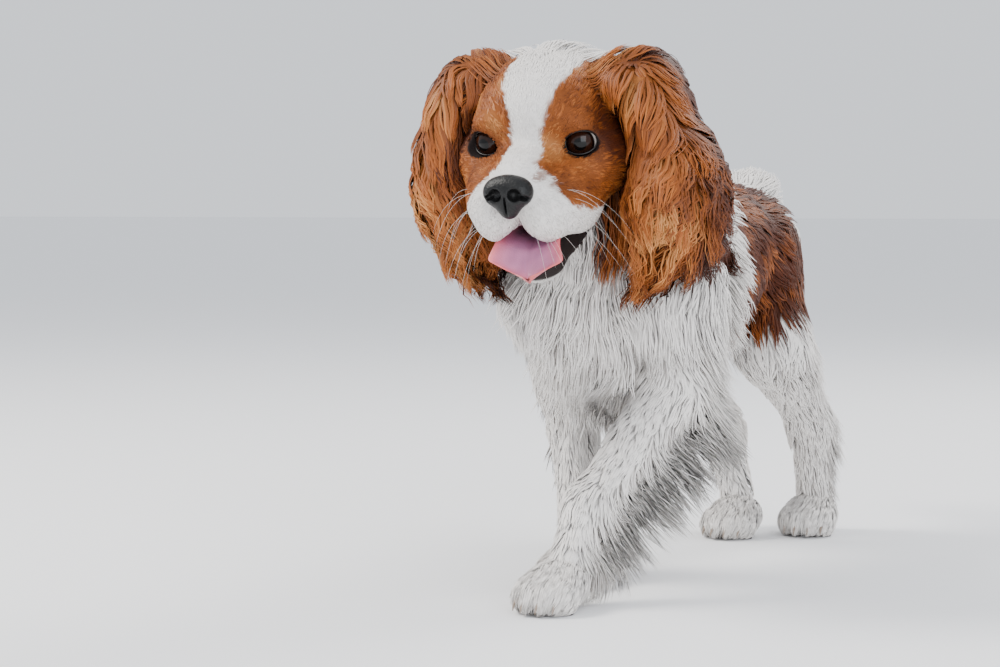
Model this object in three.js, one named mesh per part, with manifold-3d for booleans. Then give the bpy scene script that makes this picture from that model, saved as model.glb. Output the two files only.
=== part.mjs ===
// A walking young spaniel with long, wavy drop ears, life size, in millimetres, +Z up.
// The dog faces -Y and its left side is +X. The floor is Z = 0.
// Each part of the body is a surface wrapped round a spine, where a field of blended eggs and limbs
// reaches a named level. Long coat is flat, tapered locks that walk over that field along their lie.

import * as THREE from "three";
import { mergeVertices } from "three/addons/utils/BufferGeometryUtils.js";
import Module from "manifold-3d";

const wasm = await Module();
wasm.setup();

// Driving sizes

const GAP = 0.3; // clearance between touching nodes
const WITHERS = 265; // height of the shoulders, skin to floor
const MIDEYE = [-14, -215, 281]; // point midway between the eyes
const HEAD_YAW = 4; // degrees, towards the dog's left
const HEAD_PITCH = 13; // degrees, nose down
const JAW_OPEN = 19; // degrees
const EYE = { out: 27.5, back: 5, radius: 10.6, glance: 20 }; // eyeball centre, radius, outward turn

// How far the solid surface stands off the skin: short coat in full, long coat to less than half its depth
const COAT = { torso: 6, neck: 7, head: 2.5, jaw: 1, ear: 0, leg: 4, paw: 2, tail: 4 };

// Locks, each named by where it grows: the lie at the first and last angle of a row, its length and its
// rise over the surface, how far it falls free of it, the swing of its wave, its width and thickness
const CHEST = {
  lie: [[0, 0.3, -1], [0, 0.3, -1]], length: 52, rise: 19, fall: 0.3, wave: 3, width: 25, thick: 8,
};
const RUFF = {
  lie: [[0, 0.75, -0.9], [0, 0.75, -0.9]], length: 42, rise: 7, fall: 0, wave: 2, width: 27, thick: 9,
};
const FRINGE = {
  lie: [[0, 0.9, -1], [0, 0.9, -1]], length: 38, rise: 10, fall: 0.9, wave: 2, width: 18, thick: 6,
};
const EAR_LOCK = {
  lie: [[-0.3, -0.1, -1], [0.12, 0.4, -1]], length: 60, rise: 10, fall: 0.6, wave: 4, width: 30, thick: 9,
  taper: 1.15, steps: 4,
};
const SHOULDER = {
  lie: [[0, 0.3, -1], [0, 0.3, -1]], length: 50, rise: 14, fall: 0.2, wave: 2, width: 26, thick: 12,
};
const FEATHER = {
  lie: [[0.45, 0.55, -1], [0, 0.8, -1]], length: 66, rise: 14, fall: 0.9, wave: 2, width: 22, thick: 8,
  taper: 0.55,
};
const BREECHES = {
  lie: [[0.1, 0.6, -1], [-0.1, 0.6, -1]], length: 46, rise: 10, fall: 0.7, wave: 2, width: 22, thick: 8,
  taper: 0.4,
};
const TOE = {
  lie: [[0, -0.7, -1], [0, -0.7, -1]], length: 16, rise: 4, wave: 1, width: 12, thick: 4,
};
const PLUME = {
  lie: [[0.15, 0.5, -1], [-0.15, 0.5, -1]], length: 64, rise: 8, fall: 0.95, wave: 4, width: 26, thick: 7,
  steps: 4,
};

const COLOURS = {
  white: 0xefeae4,
  chestnut: 0x8e4a1c,
  nose: 0x1d1a1b,
  eye: 0x120b08,
  tongue: 0xd4788a,
};

// Points, angles and chance

const { degToRad, lerp, clamp, smoothstep } = THREE.MathUtils;
const point = (x, y, z) => new THREE.Vector3(x, y, z);
const UP = point(0, 0, 1);
const BACK = point(0, 1, 0);

// A repeatable stream of numbers from 0 to 1.
function chance(seed) {
  let state = seed;
  return () => {
    state = (state + 0x6d2b79f5) | 0;
    let t = Math.imul(state ^ (state >>> 15), 1 | state);
    t = (t + Math.imul(t ^ (t >>> 7), 61 | t)) ^ t;
    return ((t ^ (t >>> 14)) >>> 0) / 4294967296;
  };
}

// Fields: each takes a point and gives its distance from the surface, negative inside

// An ellipsoid, turned by degrees about X, Y and Z.
function egg(centre, radii, turn = [0, 0, 0]) {
  const middle = point(...centre);
  const back = new THREE.Quaternion()
    .setFromEuler(new THREE.Euler(...turn.map(degToRad)))
    .invert();
  const q = point(0, 0, 0);
  const [a, b, c] = radii;
  return (p) => {
    q.subVectors(p, middle).applyQuaternion(back);
    const reach = Math.sqrt((q.x / a) ** 2 + (q.y / b) ** 2 + (q.z / c) ** 2);
    const slope = Math.sqrt((q.x / a ** 2) ** 2 + (q.y / b ** 2) ** 2 + (q.z / c ** 2) ** 2);
    return slope > 1e-9 ? (reach * (reach - 1)) / slope : -Math.min(a, b, c);
  };
}

// A cone with round ends, from radius ra at a to radius rb at b.
function limb(a, ra, b, rb) {
  const start = point(...a);
  const along = point(...b).sub(start);
  const length2 = along.lengthSq();
  const q = point(0, 0, 0);
  return (p) => {
    q.subVectors(p, start);
    const t = clamp(q.dot(along) / length2, 0, 1);
    return q.addScaledVector(along, -t).length() - lerp(ra, rb, t);
  };
}

// A chain of limbs through joints, each given as [x, y, z, radius].
function chain(k, ...joints) {
  const links = joints
    .slice(1)
    .map((joint, i) => limb(joints[i].slice(0, 3), joints[i][3], joint.slice(0, 3), joint[3]));
  return blend(k, ...links);
}

// Fields joined with a fillet about k wide.
function blend(k, ...fields) {
  return (p) => {
    let least = fields[0](p);
    for (let i = 1; i < fields.length; i++) {
      const other = fields[i](p);
      const near = Math.max(k - Math.abs(least - other), 0) / k;
      least = Math.min(least, other) - near * near * k * 0.25;
    }
    return least;
  };
}

// A field less another, with a fillet about k wide.
function carve(k, field, tool) {
  return (p) => {
    const kept = field(p);
    const cut = -tool(p);
    const near = Math.max(k - Math.abs(kept - cut), 0) / k;
    return Math.max(kept, cut) + near * near * k * 0.25;
  };
}

// The same field on both sides of the plane X = 0.
function bothSides(field) {
  const q = point(0, 0, 0);
  return (p) => field(q.set(Math.abs(p.x), p.y, p.z));
}

// The head's own frame: origin midway between the eyes, -Y to the nose.
const headFrame = new THREE.Matrix4().compose(
  point(...MIDEYE),
  new THREE.Quaternion().setFromEuler(
    new THREE.Euler(degToRad(HEAD_PITCH), 0, degToRad(HEAD_YAW), "ZYX"),
  ),
  point(1, 1, 1),
);
const headFrameBack = headFrame.clone().invert();
const fromHead = (x, y, z) => point(x, y, z).applyMatrix4(headFrame);
const headDirection = (x, y, z) => point(x, y, z).transformDirection(headFrame);

function inHead(field) {
  const q = point(0, 0, 0);
  return (p) => field(q.copy(p).applyMatrix4(headFrameBack));
}

// The lower jaw turns about its hinge, under the ears.
const JAW_HINGE = point(0, 48, -22);
const jawTurn = new THREE.Matrix4()
  .makeTranslation(JAW_HINGE)
  .multiply(new THREE.Matrix4().makeRotationX(degToRad(JAW_OPEN)))
  .multiply(new THREE.Matrix4().makeTranslation(JAW_HINGE.clone().negate()));
const jawTurnBack = jawTurn.clone().invert();
const fromJaw = (x, y, z) => point(x, y, z).applyMatrix4(jawTurn).applyMatrix4(headFrame);

function inJaw(field) {
  const q = point(0, 0, 0);
  return inHead((p) => field(q.copy(p).applyMatrix4(jawTurnBack)));
}

// The shapes of the body, at the skin

const torsoField = blend(
  24,
  egg([0, -60, 203], [55, 80, 59]), // ribs
  egg([0, -112, 193], [46, 40, 47]), // forechest
  egg([0, -84, WITHERS - 21], [32, 50, 24]), // withers
  egg([0, 40, 214], [46, 80, 42]), // loin
  egg([0, 108, 212], [38, 48, 40]), // croup
  egg([0, -2, 182], [43, 68, 33]), // belly
);

const NECK_BASE = [0, -96, 228, 46];
const NECK_TOP = [...fromHead(0, 50, -12).toArray(), 40];
const neckField = chain(20, NECK_BASE, NECK_TOP);

const headField = inHead(
  carve(
    5,
    blend(
      9,
      egg([0, 40, 8], [44, 54, 40]), // cranium
      egg([0, 12, 16], [35, 25, 28]), // forehead
      bothSides(egg([35, 22, -13], [18, 32, 22])), // cheeks
      egg([0, -20, -15], [19, 32, 17], [8, 0, 0]), // bridge of the muzzle
      bothSides(egg([13.5, -28, -29], [15, 20, 17])), // lip pads
      bothSides(egg([26, -4, -23], [16, 25, 17])), // lips, back to the corner of the mouth
      bothSides(egg([24, 0, 14], [13, 9, 7], [0, 20, 0])), // brows
    ),
    egg([0, -10, -54], [19, 40, 15]), // roof of the mouth
  ),
);

const jawField = inJaw(
  blend(
    10,
    bothSides(limb([19, 34, -38], 12, [8, -20, -43], 8)), // jaw bones
    egg([0, -22, -43], [12, 11, 9]), // chin
    egg([0, 14, -46], [17, 30, 9]), // floor of the mouth
  ),
);

// An ear: side is 1 for the left and -1 for the right, which hangs closer to the head.
const RIGHT_EAR_CLOSER = 15;
function earField(side) {
  const shape = blend(
    12,
    egg([48, 40, 29], [16, 24, 15]), // where the ear leaves the skull
    egg([67, 38, 6], [13, 31, 37], [0, -8, 0]), // fold
    egg([74, 37, -38], [18, 30, 38], [0, 3, 0]), // hanging flap
  );
  const q = point(0, 0, 0);
  return inHead((p) => {
    const closer = side < 0 ? lerp(4, RIGHT_EAR_CLOSER, smoothstep(-p.z, -10, 70)) : 0;
    return shape(q.set(side * p.x + closer, p.y, p.z));
  });
}

const LEGS = {
  foreleg_left: [
    [22, -76, 246, 13],
    [37, -128, 190, 24],
    [40, -116, 130, 17],
    [3, -172, 58, 9.5],
    [-2, -190, 26, 9],
  ],
  foreleg_right: [
    [-22, -74, 246, 13],
    [-37, -120, 188, 24],
    [-45, -84, 132, 17],
    [-33, -92, 50, 9.5],
    [-29, -100, 24, 9],
  ],
  hindleg_left: [
    [22, 100, 212, 29],
    [40, 88, 144, 22],
    [43, 164, 88, 11],
    [42, 174, 76, 9.5],
    [40, 190, 26, 9],
  ],
  hindleg_right: [
    [-22, 98, 212, 29],
    [-42, 76, 142, 22],
    [-24, 150, 88, 11],
    [-20, 160, 76, 9.5],
    [-9, 160, 26, 9],
  ],
};
const PAWS = {
  forepaw_left: { of: "foreleg_left", at: [-4, -203, 13], turn: -6 },
  forepaw_right: { of: "foreleg_right", at: [-28, -112, 13], turn: -4 },
  hindpaw_left: { of: "hindleg_left", at: [40, 184, 13], turn: 4 },
  hindpaw_right: { of: "hindleg_right", at: [-7, 148, 13], turn: -4 },
};
const legFields = Object.fromEntries(
  Object.entries(LEGS).map(([name, joints]) => [name, chain(14, ...joints)]),
);

// A paw: a palm and four toes, turned by degrees about Z.
function pawField({ at, turn }) {
  const [x, y, z] = at;
  const out = (dx, dy) => {
    const a = degToRad(turn);
    return [x + dx * Math.cos(a) - dy * Math.sin(a), y + dx * Math.sin(a) + dy * Math.cos(a)];
  };
  const toes = [-13.5, -5, 5, 13.5].map((dx) =>
    egg([...out(dx, Math.abs(dx) > 10 ? -13 : -19), z - 3.5], [6.6, 11, 9.5], [12, 0, turn]),
  );
  return blend(5, egg([...out(0, 0), z + 1], [18, 21, 14], [10, 0, turn]), ...toes);
}

const TAIL = [
  [0, 132, 236, 17],
  [-5, 168, 241, 10],
  [-16, 206, 243, 7.5],
  [-36, 240, 240, 6],
  [-52, 258, 238, 4],
];
const tailField = chain(10, ...TAIL);

// What long coat lies on: the whole of the flesh at once
const fleshField = blend(
  16,
  torsoField,
  neckField,
  headField,
  ...Object.values(legFields),
  tailField,
);

// Surfaces

// A closed mesh through rings of points, from one end point to the other.
function closedRings(first, rings, last) {
  const sides = rings[0].length;
  const points = [first, ...rings.flat(), last];
  const faces = [];
  const at = (ring, i) => 1 + ring * sides + (i % sides);
  for (let i = 0; i < sides; i++) {
    faces.push(0, at(0, i + 1), at(0, i));
    for (let ring = 0; ring + 1 < rings.length; ring++) {
      faces.push(at(ring, i), at(ring, i + 1), at(ring + 1, i + 1));
      faces.push(at(ring, i), at(ring + 1, i + 1), at(ring + 1, i));
    }
    faces.push(points.length - 1, at(rings.length - 1, i), at(rings.length - 1, i + 1));
  }
  return new THREE.BufferGeometry().setFromPoints(points).setIndex(faces);
}

// How far a ray runs from inside a field to the level, at most to the reach.
function rayLength(field, level, origin, direction, reach) {
  const p = point(0, 0, 0);
  const value = (t) => field(p.copy(origin).addScaledVector(direction, t)) - level;
  const step = 2.5;
  let inside = 0;
  while (inside + step < reach && value(inside + step) < 0) inside += step;
  let outside = Math.min(inside + step, reach);
  for (let i = 0; i < 12; i++) {
    const middle = (inside + outside) / 2;
    if (value(middle) < 0) inside = middle;
    else outside = middle;
  }
  return (inside + outside) / 2;
}

// The rays of a wrap: u runs from one end of the spine to the other, round both end caps, and a goes round.
function ray(spine, u, a, cap = 0.18) {
  const along = clamp((u - cap) / (1 - 2 * cap), 0, 1);
  const lean = u < cap ? (u / cap - 1) * 90 : u > 1 - cap ? ((u - 1 + cap) / cap) * 90 : 0;
  const origin = spine.getPoint(along);
  const tangent = spine.getTangent(along);
  const side = tangent.clone().cross(spine.reference).normalize();
  const over = side.clone().cross(tangent).normalize();
  const direction = side
    .multiplyScalar(Math.cos(a))
    .addScaledVector(over, Math.sin(a))
    .multiplyScalar(Math.cos(degToRad(lean)))
    .addScaledVector(tangent, Math.sin(degToRad(lean)));
  return { origin, direction };
}

// Where a ray leaves the surface, and never under the floor.
function landing(field, level, { origin, direction }, floor = -1e9, reach = 150) {
  const toFloor = direction.z < -1e-6 ? (floor - origin.z) / direction.z : reach;
  const length = rayLength(field, level, origin, direction, Math.min(reach, toFloor));
  return origin.clone().addScaledVector(direction, length);
}

// A closed surface round a spine, at a level of a field.
function wrap(field, level, spine, rings, sides, floor) {
  const at = (u, a) => landing(field, level, ray(spine, u, a), floor);
  const loops = [];
  for (let ring = 1; ring < rings; ring++) {
    const u = ring / rings;
    loops.push(Array.from({ length: sides }, (_, i) => at(u, (2 * Math.PI * i) / sides)));
  }
  return closedRings(at(0, 0), loops, at(1, 0));
}

// A spine, with the direction that its rays take as over: up, or the rear on an upright one.
function spineOf(...joints) {
  const points = joints.map((p) => (p.isVector3 ? p : point(p[0], p[1], p[2])));
  const spine = new THREE.CatmullRomCurve3(points);
  const chord = points[points.length - 1].clone().sub(points[0]).normalize();
  spine.reference = Math.abs(chord.z) > 0.7 ? BACK : UP;
  return spine;
}

// Solids

// A closed geometry as a solid, with its faces turned outwards.
function solid(geometry) {
  const bare = new THREE.BufferGeometry().setAttribute("position", geometry.attributes.position);
  if (geometry.index) bare.setIndex(geometry.index);
  const merged = mergeVertices(bare, 1e-4);
  const vertProperties = merged.attributes.position.array;
  const triVerts = new Uint32Array(merged.index.array);
  const make = () => new wasm.Manifold(new wasm.Mesh({ numProp: 3, vertProperties, triVerts }));
  const made = make();
  if (made.volume() > 0) return made;
  for (let i = 0; i < triVerts.length; i += 3) {
    [triVerts[i + 1], triVerts[i + 2]] = [triVerts[i + 2], triVerts[i + 1]];
  }
  return make();
}

const joined = (solids) => solids.reduce((all, next) => all.add(next));

// The largest closed body of a solid.
function largest(made) {
  const bodies = made.decompose();
  return bodies.reduce((best, next) => (next.volume() > best.volume() ? next : best));
}

// A geometry of a solid, moved so that the node turns about its own root.
function geometryOf(made, root) {
  const mesh = made.getMesh();
  const stride = mesh.numProp;
  const positions = new Float32Array(mesh.numVert * 3);
  for (let i = 0; i < mesh.numVert; i++) {
    for (let j = 0; j < 3; j++) positions[i * 3 + j] = mesh.vertProperties[i * stride + j];
  }
  const geometry = new THREE.BufferGeometry()
    .setAttribute("position", new THREE.BufferAttribute(positions, 3))
    .setIndex(new THREE.BufferAttribute(mesh.triVerts, 1));
  geometry.translate(-root.x, -root.y, -root.z);
  return geometry;
}

// A solid wrapped round a spine, at a level of a field.
const wrapped = (field, level, spine, rings, sides, floor) =>
  solid(wrap(field, level, spine, rings, sides, floor));

// A ball, with its poles on the X axis.
function ball(centre, radius) {
  const geometry = new THREE.SphereGeometry(radius, 16, 10).rotateZ(Math.PI / 2);
  return solid(geometry.translate(centre.x, centre.y, centre.z));
}

// Locks of long coat

const SINK = 5; // how deep a lock is rooted
const CLEAR = 1; // how far every lock stays above the floor

// The outward direction of a field at a point.
function outward(field, p) {
  const h = 0.8;
  const slope = (dx, dy, dz) =>
    field(point(p.x + dx, p.y + dy, p.z + dz)) - field(point(p.x - dx, p.y - dy, p.z - dz));
  return point(slope(h, 0, 0), slope(0, h, 0), slope(0, 0, h)).normalize();
}

// The line of a lock: it starts sunk, follows the lie over the field and rises to its height. Where it
// falls, it leaves the surface little by little and hangs along the lie.
function walk(field, root, style, dice) {
  const { lie, length, rise, fall = 0, wave = 0, steps = 3 } = style;
  const stride = (length * lerp(0.85, 1.15, dice())) / steps;
  const lift = rise * lerp(0.8, 1.15, dice());
  const phase = 2 * Math.PI * dice();
  const base = field(root);
  const place = root.clone();
  const aim = lie.clone().normalize();
  let normal = outward(field, place);
  const start = { place: place.clone().addScaledVector(normal, -SINK), normal };
  const line = [{ ...start, across: normal.clone().cross(aim).normalize() }];
  for (let i = 1; i <= steps; i++) {
    const t = i / steps;
    const heading = aim.clone().addScaledVector(normal, -aim.dot(normal) * (1 - fall * t)).normalize();
    place.addScaledVector(heading, stride);
    normal = outward(field, place);
    const rest = lift * Math.sin((t * Math.PI) / 2) - (field(place) - base);
    if (fall === 0 || rest > 0) place.addScaledVector(normal, rest);
    const across = normal.clone().cross(heading).normalize();
    const swing = wave * Math.min(1, 2 * t) * Math.sin(2 * Math.PI * t + phase);
    const bent = place.clone().addScaledVector(across, swing);
    line.push({ place: bent, normal, across });
  }
  return line;
}

// A lock's mesh: a flat four-sided section that swells past its root and narrows to a point.
function lockGeometry(line, width, thick) {
  const last = line.length - 1;
  const rings = line.slice(0, last).map(({ place, normal, across }, i) => {
    const t = i / last;
    const w = (width / 2) * (0.8 + 0.3 * Math.sin(Math.PI * Math.min(1, 1.6 * t)) - 0.45 * t * t);
    const h = (thick / 2) * (1 - 0.4 * t);
    return [
      place.clone().addScaledVector(across, w),
      place.clone().addScaledVector(normal, h),
      place.clone().addScaledVector(across, -w),
      place.clone().addScaledVector(normal, -h),
    ];
  });
  for (const corner of [...rings.flat(), line[last].place]) corner.z = Math.max(corner.z, CLEAR);
  return closedRings(line[0].place, rings, line[last].place);
}

// Rows of locks over a wrap, from the first to the last u and angle. Each row is set between those of
// the row before, and each lock differs a little in length, height and wave.
function tress({ field, level, spine, over = field, u, angle, rows, perRow, seed, side = 1, ...style }) {
  const dice = chance(seed);
  const lines = [];
  for (let row = 0; row < rows; row++) {
    const v = rows > 1 ? row / (rows - 1) : 0.5;
    for (let i = 0; i < perRow; i++) {
      const s = clamp((i + 0.5 + (row % 2 ? 0.25 : -0.25) + 0.3 * (dice() - 0.5)) / perRow, 0, 1);
      const start = ray(spine, lerp(u[0], u[1], v), degToRad(lerp(angle[0], angle[1], s)));
      const longer = style.taper ? lerp(1, style.taper, v) : 1;
      const lie = point(...style.lie[0]).lerp(point(...style.lie[1]), s);
      lie.x *= side;
      const own = { ...style, lie, length: style.length * longer };
      lines.push(walk(over, landing(field, level, start), own, dice));
    }
  }
  return (grow) =>
    joined(lines.map((line) => solid(lockGeometry(line, style.width + 2 * grow, style.thick + 2 * grow))));
}

const tresses = (...groups) => (grow) => joined(groups.map((group) => group(grow)));

// Parts of the head

const HEAD_SPINE = spineOf(fromHead(0, -22, -16), fromHead(0, 6, -4), fromHead(0, 42, 6));
const sides = [1, -1];
const eyeCentre = (side) => fromHead(side * EYE.out, EYE.back, 0);

// The rim of skin round one eye: a shell over the ball, open in front in the shape of an almond.
function lids(side, grow) {
  const turn = degToRad(EYE.glance);
  const front = [
    side * (EYE.out + EYE.radius * Math.sin(turn)),
    EYE.back - EYE.radius * Math.cos(turn),
    0,
  ];
  const shell = inHead(egg([side * EYE.out, EYE.back, 0], Array(3).fill(EYE.radius + 2.2 + grow)));
  const opening = inHead(egg(front, [9.8 - grow, 11, 7.2 - grow], [0, 0, side * EYE.glance]));
  const outwards = headDirection(side * Math.sin(turn), -Math.cos(turn), 0);
  const spineAt = (middle) =>
    spineOf(middle.clone().addScaledVector(outwards, -2), middle.clone().addScaledVector(outwards, 2));
  return {
    shell: wrapped(shell, 0, spineAt(eyeCentre(side)), 8, 12),
    opening: wrapped(opening, 0, spineAt(fromHead(...front)), 6, 12),
  };
}

function makeHead(grow) {
  let made = wrapped(headField, COAT.head + grow, HEAD_SPINE, 22, 28);
  for (const side of sides) {
    const { shell, opening } = lids(side, grow);
    made = made.add(shell).subtract(opening).subtract(ball(eyeCentre(side), EYE.radius + GAP));
  }
  return made;
}

const NOSE = { at: [0, -50, -18], size: [14.5, 9, 10.5] };
const noseField = inHead(egg(NOSE.at, NOSE.size, [-10, 0, 0]));

// The pad of the nose, with two nostrils that open forwards and outwards.
function makeNose(grow) {
  const spine = spineOf(fromHead(0, -54, -18), fromHead(0, -46, -18));
  const pad = wrapped(noseField, grow, spine, 10, 14);
  if (grow > 0) return pad;
  return sides.reduce((rest, side) => {
    const [x, y, z] = [side * 6.5, -58, -18];
    const nostril = inHead(egg([x, y, z], [3.6, 5, 2.6], [0, side * -20, side * 20]));
    return rest.subtract(wrapped(nostril, 0, spineOf(fromHead(x, y - 1, z), fromHead(x, y + 1, z)), 6, 8));
  }, pad);
}

// The tongue: a ribbon that lies over the lower jaw and hangs past the chin, hollowed along its middle.
const TONGUE = [
  { y: 30, z: -50, half: 13 },
  { y: 4, z: -51, half: 16 },
  { y: -20, z: -52, half: 18 },
  { y: -38, z: -56, half: 20 },
  { y: -48, z: -64, half: 15 },
  { y: -52, z: -73, half: 5 },
];
function makeTongue(grow) {
  const path = new THREE.CatmullRomCurve3(TONGUE.map(({ y, z, half }) => point(half, y, z)));
  const rings = [];
  const steps = 12;
  for (let i = 0; i <= steps; i++) {
    const { x: half, y, z } = path.getPoint(i / steps);
    const { y: ty, z: tz } = path.getTangent(i / steps).setX(0).normalize();
    const ring = [];
    for (let j = 0; j < 12; j++) {
      const a = (2 * Math.PI * j) / 12;
      const across = (half + grow) * Math.cos(a);
      const hollow = -3 * (1 - Math.cos(a) ** 2) * Math.min(1, i / 4);
      const height = (2 + grow) * Math.sin(a) + hollow;
      ring.push(fromHead(across, y + tz * height, z - ty * height));
    }
    rings.push(ring);
  }
  const middle = (ring) => ring.reduce((sum, p) => sum.add(p), point(0, 0, 0)).divideScalar(ring.length);
  return solid(closedRings(middle(rings[0]), rings, middle(rings[steps])));
}

// Nodes, in the order in which they give way: each is cut clear of all that come before it

const parts = [];
function part(name, colour, root, flesh, coat = null) {
  parts.push({ name, colour, root, flesh, coat });
}

const torsoSpine = spineOf([0, -92, 205], [0, 0, 205], [0, 108, 212]);
const onTorso = { field: torsoField, level: COAT.torso, spine: torsoSpine, over: fleshField };
part(
  "torso",
  COLOURS.white,
  point(0, 0, 205),
  (grow) => wrapped(torsoField, COAT.torso + grow, torsoSpine, 18, 20),
  tresses(
    tress({ ...onTorso, ...CHEST, u: [0.03, 0.27], angle: [180, 360], rows: 4, perRow: 5, seed: 11 }),
    tress({ ...onTorso, ...FRINGE, u: [0.42, 0.74], angle: [252, 288], rows: 3, perRow: 2, seed: 12 }),
  ),
);

const neckSpine = spineOf(NECK_BASE, NECK_TOP);
const onNeck = { field: neckField, level: COAT.neck, spine: neckSpine, over: fleshField };
part(
  "neck",
  COLOURS.white,
  point(...NECK_BASE),
  (grow) => wrapped(neckField, COAT.neck + grow, neckSpine, 12, 18),
  tresses(
    tress({ ...onNeck, ...RUFF, u: [0.36, 0.56], angle: [-50, 230], rows: 2, perRow: 5, seed: 21 }),
    tress({ ...onNeck, ...CHEST, u: [0.3, 0.6], angle: [225, 315], rows: 2, perRow: 3, seed: 22 }),
  ),
);
for (const side of sides) {
  const name = side > 0 ? "eye_left" : "eye_right";
  const centre = eyeCentre(side);
  part(name, COLOURS.eye, centre, (grow) => ball(centre, EYE.radius + grow));
}
part("nose", COLOURS.nose, fromHead(...NOSE.at), makeNose);
part("head", COLOURS.chestnut, fromHead(0, 50, -12), makeHead);
const jawSpine = spineOf(fromJaw(0, -18, -45), fromJaw(0, 10, -46), fromJaw(0, 34, -44));
part("lower_jaw", COLOURS.white, fromJaw(...JAW_HINGE), (grow) =>
  wrapped(jawField, COAT.jaw + grow, jawSpine, 14, 16),
);
part("tongue", COLOURS.tongue, fromHead(0, 30, -50), makeTongue);

for (const side of sides) {
  const name = side > 0 ? "ear_left" : "ear_right";
  const spine = spineOf(
    fromHead(side * 56, 41, 24),
    fromHead(side * 66, 39, 4),
    fromHead(side * (side > 0 ? 70 : 66), 36, -40),
  );
  const field = earField(side);
  const onEar = { field, level: COAT.ear, spine, seed: side > 0 ? 31 : 41 };
  const round = (from, to) => (side > 0 ? [from, to] : [180 - from, 180 - to]);
  part(
    name,
    COLOURS.chestnut,
    fromHead(side * 47, 41, 26),
    (grow) => wrapped(field, COAT.ear + grow, spine, 14, 14),
    tress({ ...onEar, ...EAR_LOCK, u: [0.2, 0.84], angle: round(-85, 105), rows: 4, perRow: 3, side }),
  );
}

for (const [name, joints] of Object.entries(LEGS)) {
  const side = Math.sign(joints[0][0]);
  const spine = spineOf(...joints);
  const field = legFields[name];
  const onLeg = { field, level: COAT.leg, spine, side, seed: name.length + joints[0][0] };
  const outside = (from, to) => (side > 0 ? [from, to] : [180 - from, 180 - to]);
  const feathers = name.startsWith("fore")
    ? tresses(
        tress({ ...onLeg, ...SHOULDER, u: [0.3, 0.42], angle: outside(-80, 50), rows: 2, perRow: 2 }),
        tress({ ...onLeg, ...FEATHER, u: [0.48, 0.84], angle: outside(35, 125), rows: 4, perRow: 2 }),
      )
    : tress({ ...onLeg, ...BREECHES, u: [0.25, 0.78], angle: outside(50, 130), rows: 4, perRow: 2 });
  part(
    name,
    COLOURS.white,
    point(...joints[0].slice(0, 3)),
    (grow) => wrapped(field, COAT.leg + grow, spine, 14, 12),
    feathers,
  );
}

for (const [name, paw] of Object.entries(PAWS)) {
  const field = pawField(paw);
  const [x, y, z] = paw.at;
  const spine = spineOf([x, y - 8, z], [x, y + 5, z]);
  const onPaw = { field, level: COAT.paw, spine, seed: Math.round(100 + y) };
  part(
    name,
    COLOURS.white,
    point(x, y, z),
    (grow) => wrapped(field, COAT.paw + grow, spine, 10, 14, 0),
    tress({ ...onPaw, ...TOE, u: [0.4, 0.4], angle: [0, 180], rows: 1, perRow: 3 }),
  );
}

const tailSpine = spineOf(...TAIL);
const onTail = { field: tailField, level: COAT.tail, spine: tailSpine };
part(
  "tail",
  COLOURS.white,
  point(...TAIL[0].slice(0, 3)),
  (grow) => wrapped(tailField, COAT.tail + grow, tailSpine, 14, 10),
  tress({ ...onTail, ...PLUME, u: [0.3, 0.97], angle: [225, 315], rows: 7, perRow: 1, seed: 71 }),
);

// Each node's own solid and coat, and both grown by the gap to cut the others clear

for (const node of parts) {
  node.body = node.flesh(0);
  node.bodyGrown = node.flesh(GAP);
}

const near = (a, b) => {
  const [p, q] = [a.boundingBox(), b.boundingBox()];
  return [0, 1, 2].every((i) => p.min[i] < q.max[i] && q.min[i] < p.max[i]);
};
const cutBy = (made, tools) =>
  tools.reduce((rest, tool) => (near(rest, tool) ? rest.subtract(tool) : rest), made);

const dog = new THREE.Group();
parts.forEach((node, i) => {
  const before = parts.slice(0, i);
  let made = cutBy(node.body, before.map((other) => other.bodyGrown));
  if (node.coat) {
    const others = parts.filter((other) => other !== node);
    const clear = [...others.map((other) => other.bodyGrown), ...before.flatMap((o) => o.coatGrown ?? [])];
    made = made.add(cutBy(node.coat(0), clear));
    node.coatGrown = node.coat(GAP);
  }
  const mesh = new THREE.Mesh(
    geometryOf(largest(made), node.root),
    new THREE.MeshStandardMaterial({ color: node.colour, roughness: 0.85, metalness: 0 }),
  );
  mesh.name = node.name;
  mesh.position.copy(node.root);
  dog.add(mesh);
});

// The group is moved so that the middle of its box, at the floor, is the origin.
const box = new THREE.Box3().setFromObject(dog, true);
const middle = box.getCenter(point(0, 0, 0));
dog.position.set(-middle.x, -middle.y, -box.min.z);

export default dog;
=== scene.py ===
"""A walking young spaniel: skin, coat of mesh tufts, eyes, nose, tongue, whiskers and claws.

Lengths inside the shape functions are millimetres in the dog's own frame: it faces -Y, its left is +X and
the floor is Z = 0. They become metres in the model's frame when a mesh is made.
"""

import bpy
import numpy as np
import openvdb
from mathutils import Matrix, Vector


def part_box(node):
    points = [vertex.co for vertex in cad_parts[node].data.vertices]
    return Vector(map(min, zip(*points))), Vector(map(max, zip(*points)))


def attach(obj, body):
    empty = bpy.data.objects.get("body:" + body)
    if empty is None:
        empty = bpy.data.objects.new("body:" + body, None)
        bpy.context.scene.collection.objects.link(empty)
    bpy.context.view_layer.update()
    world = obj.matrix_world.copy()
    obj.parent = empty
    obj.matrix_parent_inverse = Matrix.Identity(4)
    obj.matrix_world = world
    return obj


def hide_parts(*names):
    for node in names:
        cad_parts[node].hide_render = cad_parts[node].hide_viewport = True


bl_info = {
    "name": "Walking spaniel",
    "version": (1, 0, 0),
    "blender": (4, 5, 0),
    "location": "3D View > Sidebar > Spaniel",
    "description": "Builds the looks of a life-size spaniel over its solids",
    "category": "Add Mesh",
}

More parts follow.
